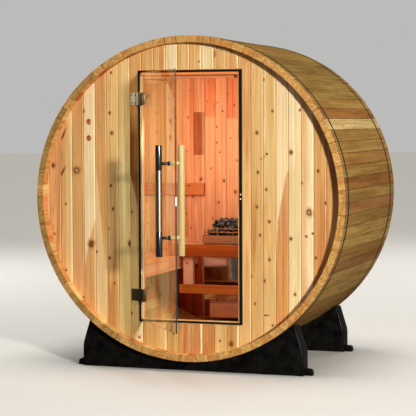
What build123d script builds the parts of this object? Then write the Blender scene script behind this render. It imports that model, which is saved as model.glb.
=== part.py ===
from build123d import *
from math import cos, sin, radians, sqrt
import os

os.makedirs("parts", exist_ok=True)

# ------------------------------------------------------------------ driving dimensions, mm
AXIS_Z = 975.0          # height of the barrel's axis above the ground
R_OUT = 915.0           # outer radius of the barrel
STAVE_T = 38.0          # thickness of the staves
R_IN = R_OUT - STAVE_T
LENGTH = 1258.0         # length of the barrel
FRONT_Y = -585.0        # plane of the front ring face; y = 0 is midway between the anchor holes
REAR_Y = FRONT_Y + LENGTH

WALL_T = 38.0           # thickness of the two end walls
FRONT_RECESS = 59.0     # front wall behind the front ring face
REAR_RECESS = 100.0     # rear wall in from the rear ring face
GROOVE = 10.0           # depth of the groove that holds each end wall
GROOVE_PLAY = 0.3
WALL_Y = FRONT_Y + FRONT_RECESS               # outside face of the front wall
WALL_BACK_Y = WALL_Y + WALL_T
REAR_WALL_Y = REAR_Y - REAR_RECESS - WALL_T   # inside face of the rear wall
BOARD = 72.0            # cover width of one wall board

# doorway, measured from the barrel's axis
FRAME_X = 312.0         # outside half width of the door frame
FRAME_TOP = 728.0
FRAME_BOTTOM = -706.0
CLEAR_X = 286.0         # half width of the clear opening
CLEAR_TOP = 696.0
CLEAR_BOTTOM = -688.0
SEAL_OUT = (-305.0, 311.5, -702.5, 724.5)     # outside and inside edges of the seal
SEAL_IN = (-294.5, 295.5, -690.5, 711.5)
SEAL_PROUD = 7.0
KEEPER_Z = (-20.0, 42.0)
CASING_W = 60.0         # boards round the doorway on the inside
CASING_T = 19.0
CASING_TOP = 678.0
HOLE_X = -612.0         # the two bored holes in the fourth board from the left
HOLE_R = 15.0
HOLE_Z = (343.0, 437.0)

# glass door, in its own frame: s runs along the glass from the pivot, n is positive inwards
OPEN_DEG = 51.2         # how far the door stands open
PIVOT_X = -277.5
PIVOT_OUT = 17.0        # pivot in front of the wall face
GLASS_S = -8.5          # hinge edge of the glass
GLASS_W = 592.0         # free edge of the glass
NOTCH_S = 16.5          # the glass is notched this deep at each hinge
NOTCH_H = 80.0
GLASS_T = 8.0
GLASS_Z = (-697.0, 715.0)
HINGE_Z = (565.0, -551.0)     # mid-height of each hinge
HINGE_H = 68.0
PLATE_X = (-352.0, -309.0)
PLATE_T = 5.0
ARM_X = -287.0          # the plate's arm reaches over the seal to here
ARM_T = 6.0
CLAMP_S = 48.0
CLAMP_N = 11.0
KNUCKLE_R = 8.0
PIN_R = 3.0
PIN_PLAY = 0.05
HANDLE_S = 495.0
HANDLE_N = 64.0
HANDLE_R = 18.0
HANDLE_Z = (-290.0, 310.0)
STANDOFF_Z = (-189.0, 211.0)
GRIP_L = 135.0
CATCH_Z = (-13.0, 35.0)

# cradles
CRADLE_T = 110.0
CRADLE_Y = (FRONT_Y + 60.0, FRONT_Y + 1000.0)
CRADLE_X = 660.0
KNEE_Z = 130.0          # above the ground
TIP_X = 615.0
TIP_Z = 275.0           # above the ground
LUG_OUT = 43.0
LUG_W = 40.0
LUG_H = 35.0
LUG_ROUND = 17.0
ANCHOR_X = 680.0
ANCHOR_R = 6.0

# bands round the staves
BAND_W = 19.0
BAND_T = 1.5
BAND_Y = (FRONT_Y + 72.0, FRONT_Y + 1147.0)

# inside
FLOOR_Z = -800.0
FLOOR_T = 20.0
FLOOR_BOARDS = 6
FLOOR_BOARD_W = 95.0
FLOOR_GAP = 9.0
BEARER_T = 45.0
SEAT_Z = -389.0
SEAT_T = 27.0
SEAT_X = (338.0, 768.0)
SLAT_GAP = 10.0
SLATS = 4
FASCIA_T = 20.0
FASCIA_H = 80.0
CLEAT_T = 38.0
CLEAT_H = 89.0
CLEAT_X = 705.0
BACKREST_X = (272.0, 868.0)
BACKREST_Z = (-30.0, 46.0)
BACKREST_T = 25.0
GUARD_Y = FRONT_Y + 755.0
RAIL_T = 25.0
TOP_RAIL = (400.0, -389.0, -316.0)
LOW_RAIL = (316.0, -617.0, -562.0)
POST_X = (236.0, 300.0)
POST_T = 38.0
HEATER_Y = FRONT_Y + 840.0
HEATER_BACK_Y = REAR_WALL_Y - 30.0
HEATER_X = 198.0
HEATER_Z = (-775.0, -664.0, -314.0, -266.0)   # base, body, rim, top of the rim
STONE_TOP = -150.0

SEGMENTS = (
    ("shell_right", -22.5), ("shell_upper_right", 22.5), ("shell_top", 67.5), ("shell_upper_left", 112.5),
    ("shell_left", 157.5), ("shell_lower_left", 202.5), ("shell_bottom", 247.5), ("shell_lower_right", 292.5),
)


def upright(y):
    """A plane across the barrel at y, seen from the front: its x is +X, its y is +Z, and it starts on the axis."""
    return Plane(origin=(0, y, AXIS_Z), x_dir=(1, 0, 0), z_dir=(0, -1, 0))


def level(z):
    """A level plane at z above the barrel's axis."""
    return Plane.XY.offset(AXIS_Z + z)


def door_plane(z):
    """A level plane at z above the axis, in the standing door's own frame: x runs along the glass, y is inwards."""
    a = radians(OPEN_DEG)
    return Plane(origin=(PIVOT_X, WALL_Y - PIVOT_OUT, AXIS_Z + z), x_dir=(cos(a), -sin(a), 0), z_dir=(0, 0, 1))


def door_face(s, z, n):
    """A plane across the glass at s, z, starting n from the glass's middle, with its normal inwards."""
    a = radians(OPEN_DEG)
    along = Vector(cos(a), -sin(a), 0)
    inward = Vector(sin(a), cos(a), 0)
    o = Vector(PIVOT_X, WALL_Y - PIVOT_OUT, AXIS_Z + z) + along * s + inward * n
    return Plane(origin=o, x_dir=along, z_dir=inward)


def rect(x0, x1, y0, y1, mode=Mode.ADD):
    """A rectangle between two corners, in the current sketch."""
    with Locations(((x0 + x1) / 2, (y0 + y1) / 2)):
        Rectangle(abs(x1 - x0), abs(y1 - y0), mode=mode)


def pair(x0, x1, y0, y1):
    """The same rectangle on both sides of the middle."""
    rect(x0, x1, y0, y1)
    rect(-x1, -x0, y0, y1)


def save(part, name):
    part.part.label = name
    export_step(part.part, f"parts/{name}.step")


# ------------------------------------------------------------------ barrel shell, eight groups of staves
for seg_name, start in SEGMENTS:
    with BuildPart() as seg:
        with BuildSketch(upright(FRONT_Y)):
            with BuildLine():
                outer = CenterArc((0, 0), R_OUT, start, 45)
                inner = CenterArc((0, 0), R_IN, start, 45)
                Line(outer @ 0, inner @ 0)
                Line(outer @ 1, inner @ 1)
            make_face()
        extrude(amount=-LENGTH)
        for y in (WALL_Y, REAR_WALL_Y):
            with BuildSketch(upright(y)):
                Circle(R_IN + GROOVE + GROOVE_PLAY)
            extrude(amount=-WALL_T, mode=Mode.SUBTRACT)
    save(seg, seg_name)

# ------------------------------------------------------------------ front wall, split beside, over and under the doorway
WALL_R = R_IN + GROOVE
for wall_name, (x0, x1, z0, z1) in (
    ("front_wall_left", (-WALL_R - 5, -9 * BOARD, -WALL_R - 5, WALL_R + 5)),
    ("front_wall_hinge_side", (-8 * BOARD, -FRAME_X, -WALL_R - 5, WALL_R + 5)),
    ("front_wall_right", (FRAME_X, WALL_R + 5, -WALL_R - 5, WALL_R + 5)),
    ("front_wall_over_door", (-FRAME_X, FRAME_X, FRAME_TOP, WALL_R + 5)),
    ("front_wall_under_door", (-FRAME_X, FRAME_X, -WALL_R - 5, FRAME_BOTTOM)),
):
    with BuildPart() as wall:
        with BuildSketch(upright(WALL_Y)):
            Circle(WALL_R)
            rect(x0, x1, z0, z1, Mode.INTERSECT)
        extrude(amount=-WALL_T)
    save(wall, wall_name)

with BuildPart() as vent_board:
    with BuildSketch(upright(WALL_Y)):
        Circle(WALL_R)
        rect(-9 * BOARD, -8 * BOARD, -WALL_R - 5, WALL_R + 5, Mode.INTERSECT)
        with Locations(*[(HOLE_X, z) for z in HOLE_Z]):
            Circle(HOLE_R, mode=Mode.SUBTRACT)
    extrude(amount=-WALL_T)
save(vent_board, "front_wall_vent_board")

with BuildPart() as rear_wall:
    with BuildSketch(upright(REAR_WALL_Y)):
        Circle(WALL_R)
    extrude(amount=-WALL_T)
save(rear_wall, "rear_wall")

# ------------------------------------------------------------------ door frame, seal, catch keeper, casing on the inside
with BuildPart() as door_jambs:
    with BuildSketch(upright(WALL_Y)):
        pair(CLEAR_X, FRAME_X, CLEAR_BOTTOM, CLEAR_TOP)
    extrude(amount=-WALL_T)
save(door_jambs, "door_jambs")

with BuildPart() as door_head:
    with BuildSketch(upright(WALL_Y)):
        rect(-FRAME_X, FRAME_X, CLEAR_TOP, FRAME_TOP)
    extrude(amount=-WALL_T)
save(door_head, "door_head")

with BuildPart() as door_sill:
    with BuildSketch(upright(WALL_Y)):
        rect(-FRAME_X, FRAME_X, FRAME_BOTTOM, CLEAR_BOTTOM)
    extrude(amount=-WALL_T)
save(door_sill, "door_sill")

with BuildPart() as door_seal:
    with BuildSketch(upright(WALL_Y)):
        rect(*SEAL_OUT)
        rect(*SEAL_IN, Mode.SUBTRACT)
        rect(SEAL_IN[1] - 1, SEAL_OUT[1] + 1, *KEEPER_Z, Mode.SUBTRACT)
    extrude(amount=SEAL_PROUD)
save(door_seal, "door_seal")

with BuildPart() as catch_keeper:
    with BuildSketch(upright(WALL_Y)):
        rect(SEAL_IN[1], SEAL_OUT[1], KEEPER_Z[0] + 1, KEEPER_Z[1] - 1)
    extrude(amount=SEAL_PROUD)
save(catch_keeper, "catch_keeper")

with BuildPart() as inner_casing:
    with BuildSketch(upright(WALL_BACK_Y)):
        pair(CLEAR_X, CLEAR_X + CASING_W, FRAME_BOTTOM, CASING_TOP)
        rect(-CLEAR_X - CASING_W, CLEAR_X + CASING_W, CASING_TOP + 0.5, CASING_TOP + CASING_W)
    extrude(amount=-CASING_T)
save(inner_casing, "inner_casing")

# ------------------------------------------------------------------ hinges: wall plates with knuckle and pin, clamps on the glass
KNUCKLE_H = HINGE_H / 3
PIVOT_Y = WALL_Y - PIVOT_OUT
with BuildPart() as hinge_wall_plates:
    for zc in HINGE_Z:
        with BuildSketch(upright(WALL_Y)):
            rect(*PLATE_X, zc - HINGE_H / 2, zc + HINGE_H / 2)
        extrude(amount=PLATE_T)
        with BuildSketch(level(zc - HINGE_H / 2)):
            rect(PLATE_X[1] - 2, ARM_X, PIVOT_Y, PIVOT_Y + ARM_T)
            rect(PLATE_X[1] - 2, SEAL_OUT[0] - 1, PIVOT_Y, WALL_Y - 0.5)
        extrude(amount=HINGE_H)
        with BuildSketch(level(zc - KNUCKLE_H / 2 + 0.25)):
            rect(ARM_X - 1, PIVOT_X - 2.5, PIVOT_Y, PIVOT_Y + ARM_T)
            with Locations((PIVOT_X, PIVOT_Y)):
                Circle(KNUCKLE_R)
        extrude(amount=KNUCKLE_H - 0.5)
        with BuildSketch(level(zc - HINGE_H / 2)):
            with Locations((PIVOT_X, PIVOT_Y)):
                Circle(PIN_R)
        extrude(amount=HINGE_H)
save(hinge_wall_plates, "hinge_wall_plates")

with BuildPart() as hinge_clamps:
    for zc in HINGE_Z:
        z0 = zc - HINGE_H / 2
        # plates either side of the glass, joined by a web in the glass's notch
        with BuildSketch(door_plane(z0)):
            rect(12, CLAMP_S, -CLAMP_N, -GLASS_T / 2)
            rect(16, CLAMP_S, GLASS_T / 2, CLAMP_N)
            rect(11, 16.5, -5, 5)
        extrude(amount=HINGE_H)
        # end knuckles, above and below the fixed one
        for zk in (z0, zc + KNUCKLE_H / 2 + 0.25):
            with BuildSketch(door_plane(zk)):
                Circle(KNUCKLE_R)
                rect(0, 14, -5, 5)
            extrude(amount=KNUCKLE_H - 0.25)
            with BuildSketch(door_plane(zk)):
                Circle(PIN_R + PIN_PLAY)
            extrude(amount=KNUCKLE_H - 0.25, mode=Mode.SUBTRACT)
save(hinge_clamps, "hinge_clamps")

# ------------------------------------------------------------------ glass leaf, notched at its two hinges
with BuildPart() as door_glass:
    with BuildSketch(door_plane(GLASS_Z[0])):
        rect(GLASS_S, GLASS_W, -GLASS_T / 2, GLASS_T / 2)
    extrude(amount=GLASS_Z[1] - GLASS_Z[0])
    for zc in HINGE_Z:
        with BuildSketch(door_plane(zc - NOTCH_H / 2)):
            rect(GLASS_S - 1, NOTCH_S, -GLASS_T, GLASS_T)
        extrude(amount=NOTCH_H, mode=Mode.SUBTRACT)
save(door_glass, "door_glass")

# bright middle of the outside bar
with BuildPart() as outer_handle_bar:
    with BuildSketch(door_plane(HANDLE_Z[0] + GRIP_L)):
        with Locations((HANDLE_S, -HANDLE_N)):
            Circle(HANDLE_R - 0.5)
    extrude(amount=HANDLE_Z[1] - HANDLE_Z[0] - 2 * GRIP_L)
save(outer_handle_bar, "outer_handle_bar")

# dark ends of the outside bar, each with its standoff to the glass
with BuildPart() as outer_handle_grips:
    for z0, zs in ((HANDLE_Z[0], STANDOFF_Z[0]), (HANDLE_Z[1] - GRIP_L, STANDOFF_Z[1])):
        with BuildSketch(door_plane(z0)):
            with Locations((HANDLE_S, -HANDLE_N)):
                Circle(HANDLE_R)
        extrude(amount=GRIP_L)
        with BuildSketch(door_face(HANDLE_S, zs, -HANDLE_N)):
            Circle(8.5)
        extrude(amount=HANDLE_N - GLASS_T / 2)
        with BuildSketch(door_face(HANDLE_S, zs, -GLASS_T / 2 - 8)):
            Circle(12.5)
        extrude(amount=8)
save(outer_handle_grips, "outer_handle_grips")

# wooden bar on the inside, on two wooden standoffs
with BuildPart() as inner_handle:
    with BuildSketch(door_plane(HANDLE_Z[0])):
        with Locations((HANDLE_S, HANDLE_N)):
            Circle(HANDLE_R)
    extrude(amount=HANDLE_Z[1] - HANDLE_Z[0])
    for zs in STANDOFF_Z:
        with BuildSketch(door_face(HANDLE_S, zs, GLASS_T / 2)):
            Circle(11)
        extrude(amount=HANDLE_N - GLASS_T / 2)
save(inner_handle, "inner_handle")

# catch plate folded round the glass's free edge
with BuildPart() as catch_plate:
    with BuildSketch(door_plane(CATCH_Z[0])):
        rect(GLASS_W - 14, GLASS_W + 1, -5, 5)
        rect(GLASS_W - 15, GLASS_W, -GLASS_T / 2, GLASS_T / 2, Mode.SUBTRACT)
    extrude(amount=CATCH_Z[1] - CATCH_Z[0])
save(catch_plate, "catch_plate")

# ------------------------------------------------------------------ steel bands round the staves
for band_name, yc in zip(("front_band", "rear_band"), BAND_Y):
    with BuildPart() as band:
        with BuildSketch(upright(yc - BAND_W / 2)):
            Circle(R_OUT + BAND_T)
            Circle(R_OUT, mode=Mode.SUBTRACT)
        extrude(amount=-BAND_W)
    save(band, band_name)

# ------------------------------------------------------------------ cradles: curved seat, sloping shoulders, an anchor lug at each end
seat_tip_x = sqrt(R_OUT**2 - (AXIS_Z - TIP_Z) ** 2)
for cradle_name, y0 in zip(("front_cradle", "rear_cradle"), CRADLE_Y):
    with BuildPart() as cradle:
        with BuildSketch(Plane(origin=(0, y0, 0), x_dir=(1, 0, 0), z_dir=(0, -1, 0))):
            with BuildLine():
                Polyline((seat_tip_x, TIP_Z), (TIP_X, TIP_Z), (CRADLE_X, KNEE_Z), (CRADLE_X, 0),
                         (-CRADLE_X, 0), (-CRADLE_X, KNEE_Z), (-TIP_X, TIP_Z), (-seat_tip_x, TIP_Z))
                ThreePointArc((-seat_tip_x, TIP_Z), (0, AXIS_Z - R_OUT), (seat_tip_x, TIP_Z))
            make_face()
        extrude(amount=-CRADLE_T)
        with BuildSketch(Plane(origin=(0, y0 + (CRADLE_T - LUG_W) / 2, 0), x_dir=(1, 0, 0), z_dir=(0, -1, 0))):
            pair(CRADLE_X - 1, CRADLE_X + LUG_OUT - LUG_ROUND, 0, LUG_H)
            pair(CRADLE_X - 1, CRADLE_X + LUG_OUT, 0, LUG_H - LUG_ROUND)
            with Locations((CRADLE_X + LUG_OUT - LUG_ROUND, LUG_H - LUG_ROUND),
                           (-CRADLE_X - LUG_OUT + LUG_ROUND, LUG_H - LUG_ROUND)):
                Circle(LUG_ROUND)
        extrude(amount=-LUG_W)
        with BuildSketch(Plane.XY):
            with Locations((ANCHOR_X, y0 + CRADLE_T / 2), (-ANCHOR_X, y0 + CRADLE_T / 2)):
                Circle(ANCHOR_R)
        extrude(amount=LUG_H, mode=Mode.SUBTRACT)
        if cradle_name == "front_cradle":
            # rebate for the front band
            with BuildSketch(upright(y0 - 1)):
                Circle(R_OUT + 2.2)
            extrude(amount=-25, mode=Mode.SUBTRACT)
    save(cradle, cradle_name)

# ------------------------------------------------------------------ floor boards on three bearers cut to the curve of the barrel
floor_x = (FLOOR_BOARDS * FLOOR_BOARD_W + (FLOOR_BOARDS - 1) * FLOOR_GAP) / 2
with BuildPart() as floor_boards:
    with BuildSketch(level(FLOOR_Z)):
        for i in range(FLOOR_BOARDS):
            x0 = -floor_x + i * (FLOOR_BOARD_W + FLOOR_GAP)
            rect(x0, x0 + FLOOR_BOARD_W, WALL_BACK_Y + 4, REAR_WALL_Y - 6)
    extrude(amount=-FLOOR_T)
save(floor_boards, "floor_boards")

with BuildPart() as floor_bearers:
    for y in (WALL_BACK_Y + 80, (WALL_BACK_Y + REAR_WALL_Y) / 2, REAR_WALL_Y - 80):
        with BuildSketch(upright(y - BEARER_T / 2)):
            Circle(R_IN)
            rect(-floor_x, floor_x, -R_IN - 5, FLOOR_Z - FLOOR_T, Mode.INTERSECT)
        extrude(amount=-BEARER_T)
save(floor_bearers, "floor_bearers")

# ------------------------------------------------------------------ benches, one each side, along the barrel
slat_w = (SEAT_X[1] - SEAT_X[0] - (SLATS - 1) * SLAT_GAP) / SLATS
for bench_name, side in (("bench_seat_left", -1), ("bench_seat_right", 1)):
    with BuildPart() as bench:
        with BuildSketch(level(SEAT_Z)):
            for i in range(SLATS):
                a = SEAT_X[0] + i * (slat_w + SLAT_GAP)
                rect(side * a, side * (a + slat_w), WALL_BACK_Y + CASING_T + 1, REAR_WALL_Y - 2)
        extrude(amount=-SEAT_T)
    save(bench, bench_name)

with BuildPart() as bench_fascias:
    with BuildSketch(level(SEAT_Z)):
        pair(SEAT_X[0] - FASCIA_T, SEAT_X[0], WALL_BACK_Y + CASING_T + 1, REAR_WALL_Y - 2)
    extrude(amount=-FASCIA_H)
save(bench_fascias, "bench_fascias")

with BuildPart() as bench_cleats:
    with BuildSketch(level(SEAT_Z - SEAT_T)):
        pair(CLEAR_X + CASING_W + 1, CLEAT_X, WALL_BACK_Y, WALL_BACK_Y + CLEAT_T)
        pair(SEAT_X[0], CLEAT_X, REAR_WALL_Y - CLEAT_T, REAR_WALL_Y)
    extrude(amount=-CLEAT_H)
save(bench_cleats, "bench_cleats")

with BuildPart() as backrests:
    with BuildSketch(upright(REAR_WALL_Y)):
        pair(*BACKREST_X, *BACKREST_Z)
    extrude(amount=BACKREST_T)
save(backrests, "backrests")

# ------------------------------------------------------------------ stove on the rear wall, with its stones and its timber guard
HZ = HEATER_Z
with BuildPart() as heater_body:
    with BuildSketch(level(HZ[1])):
        rect(-HEATER_X + 8, HEATER_X - 8, HEATER_Y + 4, HEATER_BACK_Y - 4)
    extrude(amount=HZ[2] - HZ[1])
    with BuildSketch(level(HZ[0])):
        rect(-HEATER_X + 40, HEATER_X - 40, HEATER_Y + 24, HEATER_BACK_Y - 10)
    extrude(amount=HZ[1] - HZ[0])
    with BuildSketch(level(-450)):
        pair(80, 120, HEATER_BACK_Y - 6, REAR_WALL_Y)
    extrude(amount=60)
save(heater_body, "heater_body")

RIM_T = 4.0
with BuildPart() as heater_rim:
    with BuildSketch(level(HZ[2])):
        rect(-HEATER_X, HEATER_X, HEATER_Y, HEATER_BACK_Y)
        rect(-HEATER_X + RIM_T, HEATER_X - RIM_T, HEATER_Y + RIM_T, HEATER_BACK_Y - RIM_T, Mode.SUBTRACT)
    extrude(amount=HZ[3] - HZ[2])
save(heater_rim, "heater_rim")

with BuildPart() as heater_stones:
    with BuildSketch(level(HZ[2])):
        rect(-HEATER_X + RIM_T, HEATER_X - RIM_T, HEATER_Y + RIM_T, HEATER_BACK_Y - RIM_T)
    extrude(amount=HZ[3] - HZ[2] - 10)
    with BuildSketch(level(HZ[3] - 10)):
        rect(-HEATER_X + RIM_T, HEATER_X - RIM_T, HEATER_Y + RIM_T, HEATER_BACK_Y - RIM_T)
    with BuildSketch(level(STONE_TOP)):
        rect(-HEATER_X + 80, HEATER_X - 80, HEATER_Y + 60, HEATER_BACK_Y - 60)
    loft()
save(heater_stones, "heater_stones")

with BuildPart() as guard_rails:
    for x, z0, z1 in (TOP_RAIL, LOW_RAIL):
        with BuildSketch(level(z0)):
            rect(-x, x, GUARD_Y, GUARD_Y + RAIL_T)
        extrude(amount=z1 - z0)
save(guard_rails, "guard_rails")

with BuildPart() as guard_posts:
    with BuildSketch(level(LOW_RAIL[1])):
        pair(*POST_X, GUARD_Y + RAIL_T, GUARD_Y + RAIL_T + POST_T)
    extrude(amount=TOP_RAIL[2] - LOW_RAIL[1])
save(guard_posts, "guard_posts")
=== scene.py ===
import bpy
import bmesh
from math import sin, cos, tan, pi, radians, sqrt, atan2, hypot, exp
from random import Random
from mathutils import Vector, Matrix, noise


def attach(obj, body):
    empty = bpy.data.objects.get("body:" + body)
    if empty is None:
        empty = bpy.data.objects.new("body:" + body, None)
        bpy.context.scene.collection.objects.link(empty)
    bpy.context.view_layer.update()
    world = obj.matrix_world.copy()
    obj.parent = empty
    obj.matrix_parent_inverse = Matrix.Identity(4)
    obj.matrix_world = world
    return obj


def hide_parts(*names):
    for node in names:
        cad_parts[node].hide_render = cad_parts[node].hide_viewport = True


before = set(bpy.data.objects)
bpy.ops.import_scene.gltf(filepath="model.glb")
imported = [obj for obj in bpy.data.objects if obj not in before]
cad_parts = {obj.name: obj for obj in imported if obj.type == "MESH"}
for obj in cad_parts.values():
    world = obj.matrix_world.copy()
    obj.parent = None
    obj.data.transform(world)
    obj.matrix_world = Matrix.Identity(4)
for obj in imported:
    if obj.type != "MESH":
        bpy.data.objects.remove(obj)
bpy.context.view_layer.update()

# ------------------------------------------------------------------ dimensions, metres, in the row frame
AZ = 0.975                    # height of the barrel's axis
R_OUT, R_IN = 0.915, 0.877
FRONT, REAR = -0.585, 0.673
WALL_Y, WALL_T = -0.526, 0.038
WALL_BACK = WALL_Y + WALL_T
REAR_WALL = 0.535
WALL_R = 0.8865
PITCH = 0.072
FRAME_X, FRAME_TOP, FRAME_BOTTOM = 0.312, 0.728, -0.706
CLEAR_X, CLEAR_TOP, CLEAR_BOTTOM = 0.286, 0.696, -0.688
OPEN = radians(51.2)
PIVOT = Vector((-0.2775, WALL_Y - 0.017, AZ))
ALONG = Vector((cos(OPEN), -sin(OPEN), 0))
INWARD = Vector((sin(OPEN), cos(OPEN), 0))
UP = Vector((0, 0, 1))
X, Y, Z = Vector((1, 0, 0)), Vector((0, 1, 0)), Vector((0, 0, 1))


def door(s, n, z):
    """A point of the standing door: s along the glass, n inwards, z above the barrel's axis."""
    return PIVOT + ALONG * s + INWARD * n + UP * z


# ------------------------------------------------------------------ cedar tones: ground colour and figure colour
def lin(c):
    c = c / 255.0
    return c / 12.92 if c <= 0.04045 else ((c + 0.055) / 1.055) ** 2.4


def rgb(r, g, b):
    return (lin(r), lin(g), lin(b), 1.0)


TONES = {
    "cream": (rgb(242, 223, 178), rgb(233, 204, 149)),
    "straw": (rgb(234, 203, 143), rgb(219, 177, 111)),
    "green_cream": (rgb(230, 210, 152), rgb(216, 188, 120)),
    "yellow": (rgb(229, 192, 126), rgb(212, 162, 96)),
    "gold": (rgb(213, 166, 100), rgb(191, 136, 72)),
    "tan": (rgb(218, 168, 104), rgb(194, 132, 74)),
    "pink_tan": (rgb(222, 168, 112), rgb(202, 134, 82)),
    "orange_tan": (rgb(216, 154, 88), rgb(188, 118, 60)),
    "flame": (rgb(228, 184, 120), rgb(212, 153, 92)),
    "brown": (rgb(166, 108, 58), rgb(132, 78, 38)),
    "rust": (rgb(190, 104, 54), rgb(154, 72, 34)),
    "salmon": (rgb(222, 152, 106), rgb(202, 122, 76)),
    "amber": (rgb(224, 154, 94), rgb(200, 122, 66)),
    "flush": (rgb(222, 130, 80), rgb(198, 100, 56)),
    "copper_red": (rgb(208, 116, 44), rgb(178, 86, 26)),
    # painted shade: the dark red for the shaded rear wall low down behind the stove
    "deep_red": (rgb(164, 52, 13), rgb(130, 36, 6)),
    "brown_tan": (rgb(150, 98, 44), rgb(118, 70, 26)),
    "rust_red": (rgb(178, 84, 20), rgb(150, 64, 11)),
    "olive_light": (rgb(184, 148, 84), rgb(152, 114, 56)),
    "olive_dark": (rgb(138, 110, 56), rgb(106, 78, 34)),
    # painted light: a bright orange for the warm light on the door head
    "glow": (rgb(250, 154, 80), rgb(236, 128, 56)),
    "rose": (rgb(244, 190, 156), rgb(230, 164, 126)),
    "blush": (rgb(230, 164, 128), rgb(210, 138, 100)),
    "light_pink": (rgb(232, 194, 142), rgb(218, 170, 120)),
    "handle_tan": (rgb(206, 184, 124), rgb(190, 160, 98)),
    "bore_brown": (rgb(190, 118, 54), rgb(160, 90, 34)),
    "red_brown": (rgb(164, 92, 56), rgb(136, 68, 40)),
    "olive": (rgb(150, 120, 62), rgb(118, 86, 38)),
    "olive_tan": (rgb(166, 130, 68), rgb(134, 96, 42)),
    "weather_cream": (rgb(206, 178, 122), rgb(184, 148, 92)),
    "weather_tan": (rgb(162, 118, 60), rgb(132, 86, 38)),
    "weather_brown": (rgb(150, 98, 46), rgb(116, 68, 28)),
    "weather_pink": (rgb(162, 112, 68), rgb(136, 84, 44)),
    "end_tan": (rgb(216, 168, 98), rgb(188, 132, 66)),
    "end_orange": (rgb(214, 156, 86), rgb(188, 122, 58)),
    "end_pink": (rgb(214, 156, 100), rgb(190, 126, 76)),
    "end_olive": (rgb(182, 142, 78), rgb(150, 108, 50)),
    "end_light": (rgb(224, 176, 106), rgb(198, 142, 76)),
    "end_grey": (rgb(178, 142, 90), rgb(148, 110, 62)),
    "pale_pine": (rgb(222, 194, 140), rgb(208, 172, 114)),
}


def blend(c, d, t):
    return tuple(c[i] + (d[i] - c[i]) * t for i in range(4))


def board(rng, tones, knots=(), weather=0.0, halves=None, sap=None):
    """What one board looks like: tones = [(position along it, tone name)], knots = [(along, across, radius, stretch, turn)],
    sap = ([(along, where its edge runs across)], strength), pale on the right for a strength over 0 and on the left under 0."""
    if isinstance(tones, str):
        tones = [(0.0, tones)]
    return {
        "seed": rng.uniform(0, 60), "tones": sorted(tones), "halves": halves,
        "knots": [tuple(k) for k in knots], "weather": weather, "sap": sap,
        "pith": (rng.uniform(-0.035, 0.035), rng.choice((0.006, 0.016, 0.03, 0.05)) * rng.uniform(0.8, 1.2), rng.uniform(-0.02, 0.02)),
    }


def tone_at(spec, a, b, d=0.0, end=0.0):
    if end and spec.get("end_tone"):
        return TONES[spec["end_tone"]]
    if d > 0.022 and spec.get("inside"):
        return TONES[spec["inside"]]
    if spec["halves"]:
        return TONES[spec["halves"][0 if b < 0 else 1]]
    ts = spec["tones"]
    if a <= ts[0][0]:
        return TONES[ts[0][1]]
    for (a0, n0), (a1, n1) in zip(ts, ts[1:]):
        if a <= a1:
            t = (a - a0) / (a1 - a0)
            return tuple(blend(TONES[n0][i], TONES[n1][i], t) for i in (0, 1))
    return TONES[ts[-1][1]]


def sap_at(spec, a):
    """Where the sapwood starts across the board, and how pale it is."""
    if not spec["sap"]:
        return (0.0, 0.0, 0.0)
    path, strength = spec["sap"]
    if a <= path[0][0]:
        return (path[0][1], strength, 0.0)
    for (a0, s0), (a1, s1) in zip(path, path[1:]):
        if a <= a1:
            return (s0 + (s1 - s0) * (a - a0) / (a1 - a0), strength, 0.0)
    return (path[-1][1], strength, 0.0)


def knot_frame(knot, a, b):
    """A corner's place in its knot's own axes; a swirled knot has a negative radius."""
    if not knot:
        return (1.0, 1.0, 0.0)
    u, v = a - knot[0], b - knot[1]
    stretch, turn = (knot[3], knot[4]) if len(knot) > 3 else (1.0, 0.0)
    c, t = cos(turn), sin(turn)
    return ((c * u + t * v) / stretch, -t * u + c * v, knot[2])


def random_knots(rng, a0, a1, b0, b1, per_metre, r=(0.002, 0.008)):
    out = []
    a = a0 + rng.uniform(0.02, 1.2 / per_metre)
    while a < a1 - 0.01:
        s = rng.random()
        out.append((a, rng.uniform(b0, b1), r[0] + (r[1] - r[0]) * s * s))
        a += max(0.045, rng.expovariate(per_metre))
    return out


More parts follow.
